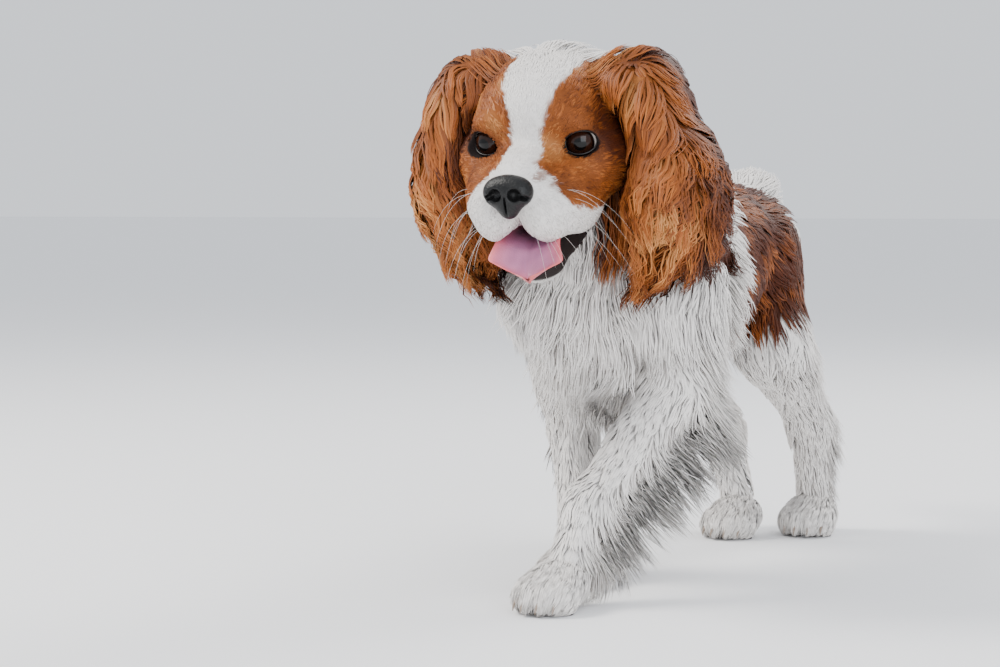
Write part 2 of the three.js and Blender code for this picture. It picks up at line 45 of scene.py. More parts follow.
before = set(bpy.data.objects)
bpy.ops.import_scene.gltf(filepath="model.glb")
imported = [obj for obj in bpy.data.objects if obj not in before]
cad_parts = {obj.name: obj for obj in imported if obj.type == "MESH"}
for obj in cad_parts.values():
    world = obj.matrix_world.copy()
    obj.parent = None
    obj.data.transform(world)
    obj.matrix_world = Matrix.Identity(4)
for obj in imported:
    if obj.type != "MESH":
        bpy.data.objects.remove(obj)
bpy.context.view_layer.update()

# Driving sizes, in millimetres and degrees, as in the solids

WITHERS = 265
MIDEYE = np.array([-14.0, -215.0, 281.0])
HEAD_YAW, HEAD_PITCH, JAW_OPEN = 4, 13, 23
EYE_OUT, EYE_BACK, EYE_RADIUS, EYE_GLANCE = 27.5, 5.0, 10.6, 20
JAW_HINGE = np.array([0.0, 48.0, -22.0])
RIGHT_EAR_CLOSER = 15

LEGS = {
    "foreleg_left": [
        (22, -76, 246, 13), (37, -128, 190, 24), (40, -116, 130, 17), (3, -172, 58, 9.5), (-2, -190, 26, 9),
    ],
    "foreleg_right": [
        (-22, -74, 246, 13), (-37, -120, 188, 24), (-45, -84, 132, 17), (-33, -92, 50, 9.5),
        (-29, -100, 24, 9),
    ],
    "hindleg_left": [
        (22, 100, 212, 29), (40, 88, 144, 22), (43, 164, 88, 11), (42, 174, 76, 9.5), (40, 190, 26, 9),
    ],
    "hindleg_right": [
        (-22, 98, 212, 29), (-42, 76, 142, 22), (-24, 150, 88, 11), (-20, 160, 76, 9.5), (-9, 160, 26, 9),
    ],
}
PAWS = {
    "forepaw_left": ((-4, -203, 13), -6),
    "forepaw_right": ((-28, -112, 13), -4),
    "hindpaw_left": ((40, 184, 13), 4),
    "hindpaw_right": ((-7, 148, 13), -4),
}
TOES = ((-13.5, -13), (-5, -19), (5, -19), (13.5, -13))  # how far aside and ahead of the palm's middle
TAIL = [(0, 132, 236, 17), (-5, 168, 241, 10), (-16, 206, 243, 7.5), (-36, 240, 240, 6), (-52, 258, 238, 4)]

# Frames


def turned(x, y, z, order="xyz"):
    """The rotation by degrees about X, Y and Z: the product of the three, the first in order outermost."""
    a, b, c = np.radians([x, y, z])
    about = {
        "x": np.array([[1, 0, 0], [0, np.cos(a), -np.sin(a)], [0, np.sin(a), np.cos(a)]]),
        "y": np.array([[np.cos(b), 0, np.sin(b)], [0, 1, 0], [-np.sin(b), 0, np.cos(b)]]),
        "z": np.array([[np.cos(c), -np.sin(c), 0], [np.sin(c), np.cos(c), 0], [0, 0, 1]]),
    }
    return about[order[0]] @ about[order[1]] @ about[order[2]]


HEAD_TURN = turned(HEAD_PITCH, 0, HEAD_YAW, "zyx")
JAW_TURN = turned(JAW_OPEN, 0, 0)


def from_head(q):
    return np.asarray(q, float) @ HEAD_TURN.T + MIDEYE


def to_head(p):
    return (p - MIDEYE) @ HEAD_TURN


def to_jaw(q):
    return (q - JAW_HINGE) @ JAW_TURN + JAW_HINGE


def smooth(a, b, x):
    """0 below a, 1 above b, and 3t^2 - 2t^3 between."""
    t = np.clip((x - a) / (b - a), 0, 1)
    return t * t * (3 - 2 * t)


def unit(v):
    return v / np.maximum(np.linalg.norm(v, axis=-1, keepdims=True), 1e-9)


# The dog's own frame is moved to the model's by the left eye, which both have.
EYE_LEFT = from_head([EYE_OUT, EYE_BACK, 0])
EYE_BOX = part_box("eye_left")
SHIFT = np.array((EYE_BOX[0] + EYE_BOX[1]) / 2) - EYE_LEFT / 1000
SHIFT[2] = 0


def metres(p):
    return np.asarray(p, float) / 1000 + SHIFT


# Fields: each takes points and gives their distance from a surface, negative inside


def egg(centre, radii, turn=(0, 0, 0)):
    """An ellipsoid: k (k - 1) / s, with k the length of q / r and s the length of q / r^2."""
    centre, radii, axes = np.array(centre, float), np.array(radii, float), turned(*turn)

    def field(p):
        q = (p - centre) @ axes
        k = np.sqrt(((q / radii) ** 2).sum(-1))
        s = np.sqrt(((q / radii**2) ** 2).sum(-1))
        return k * (k - 1) / np.maximum(s, 1e-9)

    return field


def limb(a, ra, b, rb):
    """A cone with round ends: the distance to the line from a to b, less the radius there."""
    a, b = np.array(a, float), np.array(b, float)
    along = b - a

    def field(p):
        t = np.clip(((p - a) @ along) / (along @ along), 0, 1)
        return np.linalg.norm(p - a - t[..., None] * along, axis=-1) - (ra + (rb - ra) * t)

    return field


def blend(k, *fields):
    """The least of the fields, less k n^2 / 4 where two of them lie within k."""

    def field(p):
        least = fields[0](p)
        for other in fields[1:]:
            value = other(p)
            near = np.maximum(k - np.abs(least - value), 0) / k
            least = np.minimum(least, value) - near**2 * k / 4
        return least

    return field


def carve(k, kept, tool):
    """The greater of one field and the other's opposite, with a fillet k wide."""

    def field(p):
        a, b = kept(p), -tool(p)
        near = np.maximum(k - np.abs(a - b), 0) / k
        return np.maximum(a, b) + near**2 * k / 4

    return field


def chain(k, joints):
    return blend(k, *(limb(a[:3], a[3], b[:3], b[3]) for a, b in zip(joints, joints[1:])))


def both_sides(field):
    return lambda p: field(np.concatenate([np.abs(p[..., :1]), p[..., 1:]], -1))


torso_field = blend(
    24,
    egg((0, -60, 203), (55, 80, 59)),
    egg((0, -112, 193), (46, 40, 47)),
    egg((0, -84, WITHERS - 21), (32, 50, 24)),
    egg((0, 40, 214), (46, 80, 42)),
    egg((0, 108, 212), (38, 48, 40)),
    egg((0, -2, 182), (43, 68, 33)),
)
NECK = [(0, -96, 228, 46), (*from_head([0, 50, -12]), 40)]
neck_field = chain(20, NECK)
leg_fields = {name: chain(14, joints) for name, joints in LEGS.items()}
tail_field = chain(10, TAIL)


def eye_opening(side):
    """The almond between the lids: an egg in front of the eye, turned as the eye looks."""
    turn = np.radians(EYE_GLANCE)
    front = (side * (EYE_OUT + EYE_RADIUS * np.sin(turn)), EYE_BACK - EYE_RADIUS * np.cos(turn), 0)
    return egg(front, (10.6, 11, 7.9), (0, side * -6, side * EYE_GLANCE))


MOUTH = egg((0, -10, -57), (18, 40, 15))


def skull_shape():
    """The head with its mouth cavity, lids and eye sockets, in the head's own frame."""
    face = blend(
        9,
        egg((0, 40, 8), (44, 54, 40)),
        egg((0, 12, 16), (35, 25, 28)),
        both_sides(egg((35, 22, -13), (18, 32, 22))),
        egg((0, -20, -15), (19, 32, 17), (8, 0, 0)),
        both_sides(egg((15, -28, -33), (15.5, 20, 20))),
        both_sides(egg((26, -4, -30), (15, 27, 23))),
        both_sides(egg((24, 0, 14), (13, 9, 7), (0, 20, 0))),
    )
    face = carve(4, face, MOUTH)
    lidded = blend(3, face, both_sides(egg((EYE_OUT, EYE_BACK, 0), (EYE_RADIUS + 1.6,) * 3)))
    opened = carve(1.2, lidded, both_sides(eye_opening(1)))
    return carve(0.5, opened, both_sides(egg((EYE_OUT, EYE_BACK, 0), (EYE_RADIUS - 0.4,) * 3)))


skull_field = skull_shape()
jaw_shape = blend(
    10,
    both_sides(limb((19, 34, -38), 12, (8, -20, -43), 8)),
    egg((0, -24, -46), (13, 12, 10)),
    egg((0, 14, -46), (17, 30, 9)),
)


def head_field(p):
    q = to_head(p)
    return np.minimum(skull_field(q), jaw_shape(to_jaw(q)))


def ear_field(side):
    """An ear: its root, its fold and its lobe, which is fuller on the left."""
    middle, radii = ((75, 35, -41), (21.5, 38, 39)) if side > 0 else ((73, 33, -38), (18, 34, 38))
    lobe = egg(middle, radii, (0, 3, 0))
    shape = blend(
        12,
        egg((48, 40, 29), (16, 24, 15)),
        egg((67, 38, 6), (13, 31, 37), (0, -8, 0)),
        lobe,
    )

    def field(p):
        q = to_head(p)
        closer = 4 + (RIGHT_EAR_CLOSER - 4) * smooth(-10, 70, -q[..., 2])
        x = side * q[..., 0] + (closer if side < 0 else 0)
        return shape(np.stack([x, q[..., 1], q[..., 2]], -1))

    return field


def paw_field(at, turn):
    """A palm and four toes."""
    x, y, z = at
    axes = turned(0, 0, turn)
    toes = []
    for out, ahead in TOES:
        offset = axes @ (out, ahead, 0)
        toes.append(egg((x + offset[0], y + offset[1], z - 3.5), (6.6, 11, 9.5), (12, 0, turn)))
    return blend(5, egg((x, y, z + 1), (18, 21, 14), (10, 0, turn)), *toes)


paw_fields = {name: paw_field(*paw) for name, paw in PAWS.items()}
body_field = blend(16, torso_field, neck_field, *leg_fields.values(), tail_field)


def outwards(points, tris):
    """The triangles turned so that the volume they enclose counts as positive."""
    a, b, c = (points[tris[:, i]] - points.mean(0) for i in range(3))
    return tris if (a * np.cross(b, c)).sum() > 0 else tris[:, ::-1]


class Grid:
    """A field kept on a grid of points, read back by trilinear interpolation."""

    def __init__(self, field, low, high, step):
        self.low, self.step = np.array(low, float), step
        counts = np.ceil((np.array(high) - self.low) / step).astype(int) + 1
        axes = [self.low[i] + step * np.arange(counts[i]) for i in range(3)]
        self.values = np.empty(counts, np.float32)
        for i, x in enumerate(axes[0]):
            y, z = np.meshgrid(axes[1], axes[2], indexing="ij")
            plane = np.stack([np.full(y.shape, x), y, z], -1)
            self.values[i] = field(plane)
        slopes = np.gradient(self.values, step)
        self.slopes = np.stack(slopes, -1).astype(np.float32)

    def read(self, table, p):
        """The mean of the eight grid points round p, each by its nearness."""
        q = (p - self.low) / self.step
        q = np.clip(q, 0.001, np.array(self.values.shape) - 1.001)
        cell = q.astype(int)
        part = q - cell
        total = 0
        for corner in np.ndindex(2, 2, 2):
            weight = np.prod(np.where(corner, part, 1 - part), axis=-1)
            value = table[tuple((cell + corner).T)]
            total = total + (weight[:, None] * value if value.ndim > 1 else weight * value)
        return total

    def at(self, p):
        return self.read(self.values, p)

    def outward(self, p):
        return unit(self.read(self.slopes, p))

    def surface(self):
        """Vertices and triangles of the level zero, with faces outwards."""
        grid = openvdb.FloatGrid(background=1e3)
        grid.copyFromArray(self.values)
        points, quads = grid.convertToQuads(isovalue=0)
        points = points * self.step + self.low
        tris = np.concatenate([quads[:, [0, 1, 2]], quads[:, [0, 2, 3]]]).astype(np.int64)
        return points, outwards(points, tris)


def waves(p, size, seed):
    """A smooth pattern from -1 to 1: the mean of four sines in random directions, about size apart."""
    dice = np.random.default_rng(seed)
    total = 0
    for _ in range(4):
        heading = unit(dice.normal(size=3)) * 2 * np.pi / size * dice.uniform(0.7, 1.4)
        total = total + np.sin(p @ heading + dice.uniform(0, 2 * np.pi))
    return total / 4


# Markings: how chestnut the coat is at a point, from 0 to 1


def face_chestnut(p):
    """White in the blaze and on the muzzle, chestnut on the sides of the head."""
    q = to_head(p)
    x, y, z = np.abs(q[:, 0]), q[:, 1], q[:, 2]
    blaze = np.interp(z, [-45, -35, -25, -15, -8, 0, 14, 30, 44], [50, 38, 29, 20, 13, 10.5, 10.5, 16, 25])
    crown = np.interp(y, [0, 40, 80], [30, 24, 13])
    half = np.where(z > 20, np.minimum(blaze, crown), blaze)
    half = np.where((y > 5) & (z < -5), np.minimum(half, 28), half)
    half = half * np.where(q[:, 0] < 0, 1 - 0.25 * smooth(-20, -6, z), 1)
    half = half + 2.2 * waves(p, 14, 5) + 1.0 * waves(p, 5, 6)
    edge = smooth(-1.5, 1.5, x - half)
    jaw = smooth(4, 1, jaw_shape(to_jaw(q))) * smooth(-34, -40, z)
    chin = smooth(18, 14, x) * smooth(2, -6, y)
    spot = 0.7 * smooth(3.4, 1.8, np.hypot(q[:, 0] - 15, z + 12)) * smooth(-20, -24, y)
    return np.clip(np.maximum(edge * (1 - jaw) + (1 - chin) * jaw, spot), 0, 1)


def painted_light_and_tone(p):
    """How far the chestnut is lighter or darker than its middle tone, as painted light and shade and as the
    coat's own tone.

    It is dark behind the eyes and on the jaw, as darker coat with painted shade added, and dark on the rear
    and the bottom of the ears and on the flanks as painted shade. It is light over the brows, and light on
    the curled hair at the front of the ears as a painted highlight.
    """
    q = to_head(p)
    q[:, 0] = np.abs(q[:, 0])
    dark = np.exp(-((np.linalg.norm(q - [46, 14, 2], axis=1) / 23) ** 2))
    under = smooth(4, 1, jaw_shape(to_jaw(q))) * smooth(-34, -40, q[:, 2])
    light = np.exp(-((np.linalg.norm(q - [31, 6, 25], axis=1) / 9) ** 2))
    ear = smooth(48, 56, q[:, 0]) * smooth(-70, -90, p[:, 1])
    rear = ear * smooth(18, 48, q[:, 1])
    low = ear * smooth(-30, -80, q[:, 2])
    # Painted highlight: the curled hair at the front of the ears is lighter where light falls on it.
    curl_highlight = ear * smooth(26, 8, q[:, 1]) * smooth(14, -10, q[:, 2]) * smooth(-80, -50, q[:, 2])
    # Painted shade: partly so behind the eyes and on the jaw, wholly so on the rear and bottom of the ears
    # and on the flanks.
    shade = 0.75 * dark + 0.8 * under + 0.75 * rear + 0.4 * low + 0.5 * smooth(-95, -60, p[:, 1])
    return 0.4 * light + 0.2 * curl_highlight - shade


def body_chestnut(p):
    """A patch on each flank that meets the other over the back."""
    x, y, z = p.T
    ragged = 7 * waves(p, 45, 7) + 3 * waves(p, 14, 8)
    left = np.hypot((y - 20) / 92, (z - 214) / 62) * 75 - 75
    right = np.hypot((y - 40) / 78, (z - 220) / 52) * 64 - 64
    flank = np.where(x > 0, left, right)
    return smooth(2, -2, flank + ragged) * smooth(-84, -70, y)


def neck_chestnut(p):
    """A chestnut edge behind the cheeks and under the ears, above a white collar."""
    q = to_head(p)
    edge = smooth(24, 30, np.abs(q[:, 0]) + 2 * waves(p, 12, 12)) * smooth(-64, -57, q[:, 2])
    return edge * smooth(84, 72, q[:, 1])


def trunk_chestnut(p):
    return np.maximum(body_chestnut(p), neck_chestnut(p) * smooth(-90, -110, p[:, 1]))


def no_chestnut(p):
    return np.zeros(len(p))


def all_chestnut(p):
    return np.ones(len(p))


def look():
    """The settings that the operators share."""
    return bpy.context.scene.spaniel


def coat_colour(p, chestnut, along, chance):
    """The coat's colour: chestnut or white at the root, darker at the skin as painted shade, lighter at the
    tip.
    """
    names = ("chestnut", "chestnut_deep", "chestnut_gold", "white")
    warm, deep, gold, white = (np.array(getattr(look(), name)) for name in names)
    # The tone holds painted light and shade over the head, ears and flanks, besides its random spread.
    tone = np.clip(0.5 + 0.4 * waves(p, 30, 9) + 0.6 * (chance - 0.5) + painted_light_and_tone(p), 0, 1)[:, None]
    brown = np.where(tone < 0.5, deep + (warm - deep) * 2 * tone, warm + (gold - warm) * (2 * tone - 1))
    # Painted shade deep in the coat: each tuft darker towards the skin and lighter at the tip.
    brown = brown * (0.5 + 0.72 * along[:, None])
    pale = white * (0.96 + 0.04 * waves(p, 24, 10)[:, None]) * (0.9 + 0.1 * along[:, None])
    return pale + (brown - pale) * chestnut[:, None]


# Meshes


def make_mesh(name, points, tris, colour=None, uv=None, normals=None):
    """A mesh object from arrays of points and triangles, with its colours, map and shading normals."""
    mesh = bpy.data.meshes.new(name)
    mesh.vertices.add(len(points))
    mesh.vertices.foreach_set("co", metres(points).astype(np.float32).ravel())
    mesh.loops.add(len(tris) * 3)
    mesh.loops.foreach_set("vertex_index", tris.astype(np.int32).ravel())
    mesh.polygons.add(len(tris))
    mesh.polygons.foreach_set("loop_start", np.arange(0, len(tris) * 3, 3, dtype=np.int32))
    mesh.polygons.foreach_set("use_smooth", np.ones(len(tris), bool))
    if colour is not None:
        layer = mesh.color_attributes.new(name="coat_colour", type="FLOAT_COLOR", domain="POINT")
        rgba = np.concatenate([colour, np.ones((len(colour), 1))], 1).astype(np.float32)
        layer.data.foreach_set("color", rgba.ravel())
    if uv is not None:
        layer = mesh.uv_layers.new(name="OFBake")
        layer.uv.foreach_set("vector", uv[tris.ravel()].astype(np.float32).ravel())
    mesh.update(calc_edges=True)
    mesh.validate()
    if normals is not None:
        mesh.normals_split_custom_set_from_vertices(normals.astype(np.float32))
    piece = bpy.data.objects.new(name, mesh)
    bpy.context.collection.objects.link(piece)
    return piece


def grid_tris(rings, sides, first=0):
    """Triangles between the rings of a closed tube, without its ends."""
    ring, side = np.meshgrid(np.arange(rings - 1), np.arange(sides), indexing="ij")
    a = first + ring * sides + side
    b = first + ring * sides + (side + 1) % sides
    c, d = b + sides, a + sides
    return np.stack([a, b, c, a, c, d], -1).reshape(-1, 3)


def tube(rings):
    """A closed surface through rings of points, shape (rings, sides, 3), with a point at each end."""
    count, sides = rings.shape[:2]
    first = np.arange(sides)
    after = (first + 1) % sides
    last = (count - 1) * sides
    ends = count * sides
    start = np.stack([np.full(sides, ends), after, first], -1)
    stop = np.stack([np.full(sides, ends + 1), last + first, last + after], -1)
    points = np.concatenate([rings.reshape(-1, 3), rings[0].mean(0)[None], rings[-1].mean(0)[None]])
    return points, outwards(points, np.concatenate([grid_tris(count, sides), start, stop]))


def swept(path, across, width, over, thick, sides=10):
    """A tube along a path, shape (n, 3), with an oval section: width along across, thick along over."""
    a = 2 * np.pi * np.arange(sides) / sides
    w = np.broadcast_to(np.asarray(width, float), len(path))[:, None, None]
    h = np.broadcast_to(np.asarray(thick, float), len(path))[:, None, None]
    c, s = np.cos(a)[None, :, None], np.sin(a)[None, :, None]
    return tube(path[:, None] + across[:, None] * c * w + over[:, None] * s * h)


def together(*shapes):
    """Several shapes, each points and triangles, as one."""
    points, tris, count = [], [], 0
    for p, t in shapes:
        points.append(p)
        tris.append(t + count)
        count += len(p)
    return np.concatenate(points), np.concatenate(tris)


# Coat: tufts that walk over a grid's field

ROOT_DEPTH = 1.2  # how far a tuft starts inside the skin
LENGTH_VARIES = 0.18  # share by which the lengths of neighbours differ
GATHER_BLOCK = 4000  # roots compared with the guides at a time
GATHER_POWER = 1.4
FLATNESS = 0.45  # thickness of a tuft by its width
LIFT = np.array([0, 0, 0.35])  # how far shading normals lean upwards, so that the coat reads as one mass
USUAL = {"wave": 0, "pitch": 30, "stray": 0.08}  # of a style that doesn't say
PIECE_LIMIT = 190_000  # triangles


def scatter(points, tris, density, dice):
    """Roots spread over triangles by area, with density as the number for each square millimetre."""
    a, b, c = (points[tris[:, i]] for i in range(3))
    area = np.linalg.norm(np.cross(b - a, c - a), axis=1) / 2
    weight = area * density((a + b + c) / 3)
    count = int(weight.sum())
    pick = dice.choice(len(tris), count, p=weight / weight.sum())
    u, v = dice.random((2, count, 1))
    flip = u + v > 1
    u, v = np.where(flip, 1 - u, u), np.where(flip, 1 - v, v)
    return a[pick] + u * (b - a)[pick] + v * (c - a)[pick]


def walk(grid, roots, lie, length, rise, fall, wave, pitch, steps, dice):
    """The lines of tufts over a field.

    A tuft starts sunk, follows the lie and rises as a sine to its height. Where it falls, it leaves the
    surface and hangs along the lie. Its wave swings it across.
    """
    count = len(roots)
    phase = 2 * np.pi * (waves(roots, 26, 11) + 0.12 * dice.random(count))
    place = roots.copy()
    normal = grid.outward(place)
    line = np.empty((steps + 1, count, 3))
    sides = np.empty_like(line)
    overs = np.empty_like(line)
    heading = lie(place, normal)
    for i in range(steps + 1):
        t = i / steps
        if i:
            aim = lie(place, normal)
            held = (aim * normal).sum(-1, keepdims=True) * (1 - fall[:, None] * t)
            heading = unit(aim - held * normal)
            place = place + heading * (length / steps)[:, None]
            normal = grid.outward(place)
            rest = rise * np.sin(t * np.pi / 2) - grid.at(place)
            push = np.where(fall > 0.01, np.maximum(rest, 0), rest)
            place = place + normal * push[:, None]
        across = unit(np.cross(normal, heading))
        angle = 2 * np.pi * t * length / pitch + phase
        swing = wave * np.minimum(1, 2.5 * t)
        bent = place + across * (swing * np.sin(angle))[:, None]
        bent = bent + normal * (0.5 * swing * (1 + np.cos(angle)))[:, None]
        line[i] = bent - (normal * ROOT_DEPTH if i == 0 else 0)
        sides[i], overs[i] = across, normal
    return line, sides, overs


def gather(line, roots, guide_line, guide_roots, pull):
    """Draws each tuft towards the guide whose root is nearest, more and more towards the tip."""
    nearest = np.empty(len(roots), int)
    for start in range(0, len(roots), GATHER_BLOCK):
        block = slice(start, start + GATHER_BLOCK)
        gap = ((roots[block, None] - guide_roots[None]) ** 2).sum(-1)
        nearest[block] = gap.argmin(1)
    t = np.linspace(0, 1, len(line))[:, None, None] ** GATHER_POWER
    return line + (guide_line[:, nearest] - line) * t * pull, nearest


def tuft_mesh(line, sides, overs, width, thick, floor=0.6, free=1.0):
    """Tufts with a three-cornered section that narrows as 1 - 0.85 t^1.6 and ends in a point.

    Those that lie on the coat are shaded with its own outward direction, and free ones with their section's.
    """
    rings, count = len(line) - 1, line.shape[1]
    t = np.arange(rings)[:, None, None] / rings
    slim = 1 - 0.85 * t**1.6
    w, h = width[None, :, None] / 2 * slim, thick[None, :, None] / 2 * slim
    corners = [
        line[:-1] + sides[:-1] * w - overs[:-1] * h * 0.5,
        line[:-1] + overs[:-1] * h,
        line[:-1] - sides[:-1] * w - overs[:-1] * h * 0.5,
    ]
    body = np.stack(corners, 2).transpose(1, 0, 2, 3).reshape(count, rings * 3, 3)
    points = np.concatenate([body, line[-1][:, None]], 1)
    points[..., 2] = np.maximum(points[..., 2], floor)
    top = unit(overs + LIFT)
    own = np.broadcast_to(free, count)[None, :, None]
    lean = [
        (top[:-1] + 0.5 * sides[:-1]) * (1 - own) + (sides[:-1] - 0.5 * overs[:-1]) * own,
        top[:-1] * (1 - own) + overs[:-1] * own,
        (top[:-1] - 0.5 * sides[:-1]) * (1 - own) - (sides[:-1] + 0.5 * overs[:-1]) * own,
    ]
    facing = np.stack(lean, 2).transpose(1, 0, 2, 3).reshape(count, rings * 3, 3)
    normals = unit(np.concatenate([facing, top[-1][:, None]], 1)).reshape(-1, 3)
    one = np.concatenate(
        [
            grid_tris(rings, 3),
            [[0, 2, 1]],
            [[rings * 3 - 3 + i, rings * 3 - 3 + (i + 1) % 3, rings * 3] for i in range(3)],
        ]
    )
    stride = rings * 3 + 1
    tris = (one[None] + stride * np.arange(count)[:, None, None]).reshape(-1, 3)
    along = np.concatenate([np.repeat(np.arange(rings) / rings, 3), [1.0]])
    return points.reshape(-1, 3), tris, normals, np.tile(along, count), stride


# Where each region of the coat is laid in the bake map, as the corner and size of its cell
MAP_CELLS = {
    "head": (0.01, 0.51, 0.47),
    "ear_left": (0.51, 0.51, 0.22),
    "ear_right": (0.76, 0.51, 0.22),
    "torso": (0.01, 0.01, 0.47),
    "neck": (0.51, 0.76, 0.22),
    "foreleg_left": (0.51, 0.26, 0.22),
    "foreleg_right": (0.76, 0.26, 0.22),
    "hindleg_left": (0.51, 0.01, 0.22),
    "hindleg_right": (0.76, 0.01, 0.22),
    "tail": (0.76, 0.76, 0.22),
}
TUFT_PATCH = 0.003
SPINE_MARGIN = 40  # how far a region reaches past the ends of its spine


def unwrap(region, p, spine):
    """A place on the skin as the share of its way along the spine and its angle round it, in its cell."""
    spine = np.array([joint[:3] for joint in spine], float)
    lengths = np.linalg.norm(np.diff(spine, axis=0), axis=1)
    best, way, angle = np.full(len(p), 1e9), np.zeros(len(p)), np.zeros(len(p))
    for i, (a, b) in enumerate(zip(spine, spine[1:])):
        axis = (b - a) / lengths[i]
        t = (p - a) @ axis
        before = SPINE_MARGIN if i == 0 else 0
        beyond = SPINE_MARGIN if i == len(lengths) - 1 else 0
        t_in = np.clip(t, -before, lengths[i] + beyond)
        off = p - a - t_in[:, None] * axis
        gap = np.linalg.norm(off, axis=1)
        side = unit(np.cross(axis, [0.1, 0.2, 1] if abs(axis[2]) < 0.8 else [0, 1, 0.1]))
        over = np.cross(side, axis)
        near = gap < best
        best = np.where(near, gap, best)
        way = np.where(near, lengths[:i].sum() + t_in + SPINE_MARGIN, way)
        angle = np.where(near, np.arctan2(off @ over, off @ side), angle)
    x, y, size = MAP_CELLS[region]
    share = np.clip(way / (lengths.sum() + 2 * SPINE_MARGIN), 0, 1)
    return np.stack([x + size * share, y + size * (angle / (2 * np.pi) + 0.5)], -1)


def coat(name, region, grid, skin, spine, style, chestnut, seed, where=None):
    """One piece of coat: roots, guides, lines, tufts, colours and the bake map."""
    dice = np.random.default_rng(seed)
    style = {**USUAL, **style}
    points, tris = skin
    density = style["density"] if callable(style["density"]) else lambda p: style["density"]

    def thick_of(p):
        return density(p) * look().density * (where(p) if where else np.ones(len(p)))

    roots = scatter(points, tris, thick_of, dice)
    guides = roots[dice.choice(len(roots), max(8, int(len(roots) * style["guides"])), False)]

    def lines(start, chance):
        n = len(start)
        normal = grid.outward(start)
        sizes = {key: np.broadcast_to(style[key](start, normal), n) for key in ("length", "rise", "fall")}
        vary = 1 + LENGTH_VARIES * (2 * chance.random(n) - 1)
        swing = style["wave"]
        wave = (swing(start) if callable(swing) else swing) * (0.8 + 0.4 * chance.random(n))
        stray = chance.normal(size=(n, 3)) * style["stray"]

        def lie(p, out):
            return unit(unit(style["lie"](p, out)) + stray + 0.12 * sway(p))

        walked = walk(
            grid, start, lie, sizes["length"] * vary, sizes["rise"] * vary, sizes["fall"], wave,
            style["pitch"], style["steps"], chance,
        )
        return *walked, sizes["fall"]

    line, sides, overs, fall = lines(roots, dice)
    guide_line = lines(guides, np.random.default_rng(seed + 1))[0]
    line, nearest = gather(line, roots, guide_line, guides, style["pull"])
    n = len(roots)
    width = style["width"] * (0.75 + 0.5 * dice.random(n))
    free = np.maximum(smooth(0.2, 0.7, fall), smooth(0.1, -0.4, overs[0][:, 2]))
    points, tris, normals, along, stride = tuft_mesh(line, sides, overs, width, width * FLATNESS, free=free)
    amount = np.repeat(chestnut(roots), stride)
    shade = 0.5 * dice.random(n) + 0.5 * np.random.default_rng(seed + 2).random(len(guides))[nearest]
    colour = coat_colour(np.repeat(roots, stride, 0), amount, along, np.repeat(shade, stride))
    place = np.repeat(unwrap(region, roots, spine), stride, 0)
    corner = np.tile((np.arange(stride) % 3) / 2.0, n)
    uv = place + TUFT_PATCH * (np.stack([corner, along], -1) - 0.5)
    return split_piece(name, points, tris, (colour, uv, normals), stride, len(tris) // n)


def split_piece(name, points, tris, tables, stride, faces):
    """Cuts a coat into pieces of whole tufts, none over the limit of triangles.

    Each tuft has stride points and faces triangles, and the tables hold a row for each point.
    """
    count = len(points) // stride
    parts = int(np.ceil(len(tris) / PIECE_LIMIT))
    made = []
    for i, block in enumerate(np.array_split(np.arange(count), parts)):
        verts = slice(block[0] * stride, (block[-1] + 1) * stride)
        own = tris[block[0] * faces : (block[-1] + 1) * faces] - block[0] * stride
        label = name if parts == 1 else f"{name}_{i + 1}"
        made.append(make_mesh(label, points[verts], own, *(table[verts] for table in tables)))
    return made


def sway(p):
    """A gentle change of heading over the coat, so that neighbouring tufts bend together."""
    return np.stack([waves(p, 34, 21), waves(p, 34, 22), waves(p, 34, 23)], -1)


# The lie of the coat


def along_spine(joints, down):
    """Down the nearest stretch of a limb, and a little towards the floor."""
    joints = np.array([joint[:3] for joint in joints], float)

    def lie(p, _):
        best, heading = np.full(len(p), 1e9), np.zeros_like(p)
        for a, b in zip(joints, joints[1:]):
            t = np.clip(((p - a) @ (b - a)) / ((b - a) @ (b - a)), 0, 1)
            gap = np.linalg.norm(p - a - t[:, None] * (b - a), axis=1)
            near = gap < best
            best = np.where(near, gap, best)
            heading = np.where(near[:, None], unit(b - a), heading)
        return heading + np.array([0, 0, -down])

    return lie


def head_lie(p, _):
    """Away from the nose and round the eyes: up the forehead, back over the cheeks, down on the lips."""
    q = to_head(p)
    from_nose = unit(q - [0, -52, -14])
    eye = np.abs(q[:, :1]) * [1, 0, 0] + q * [0, 1, 1] - [EYE_OUT, EYE_BACK, 0]
    eye[:, 0] *= np.sign(q[:, 0])
    near_eye = np.exp(-((np.linalg.norm(eye, axis=1, keepdims=True) / 18) ** 2))
    muzzle = smooth(0, -14, q[:, 1:2]) * smooth(-12, -24, q[:, 2:3])
    cheek = smooth(10, 40, q[:, 1:2]) * smooth(10, -15, q[:, 2:3])
    flow = from_nose + near_eye * unit(eye) * 0.9
    flow = flow + muzzle * np.array([0, 0.4, -0.9]) + cheek * np.array([0, 0.3, -0.7])
    return flow @ HEAD_TURN.T


def torso_lie(p, out):
    """Back along the spine, down the sides, and straight down on the chest."""
    chest = smooth(-70, -110, p[:, 1:2])
    side = np.abs(out[:, :1])
    back = np.array([0, 1.0, 0]) + side * np.array([0, 0, -0.75]) + [0, 0, -0.15]
    front = np.array([0, 0.1, -1.0]) + 0.4 * p[:, :1] / 50 * np.array([1.0, 0, 0]) + 0.4 * out * [1, 0.6, 0]
    return back * (1 - chest) + front * chest


def neck_lie(_, out):
    """From the head to the shoulders on top, and straight down at the throat."""
    throat = smooth(-0.1, -0.6, out[:, 2:3] + out[:, 1:2] * 0.8)
    return np.array([0, 0.85, -0.65]) * (1 - throat) + np.array([0, 0.1, -1.0]) * throat


# Operators and their settings


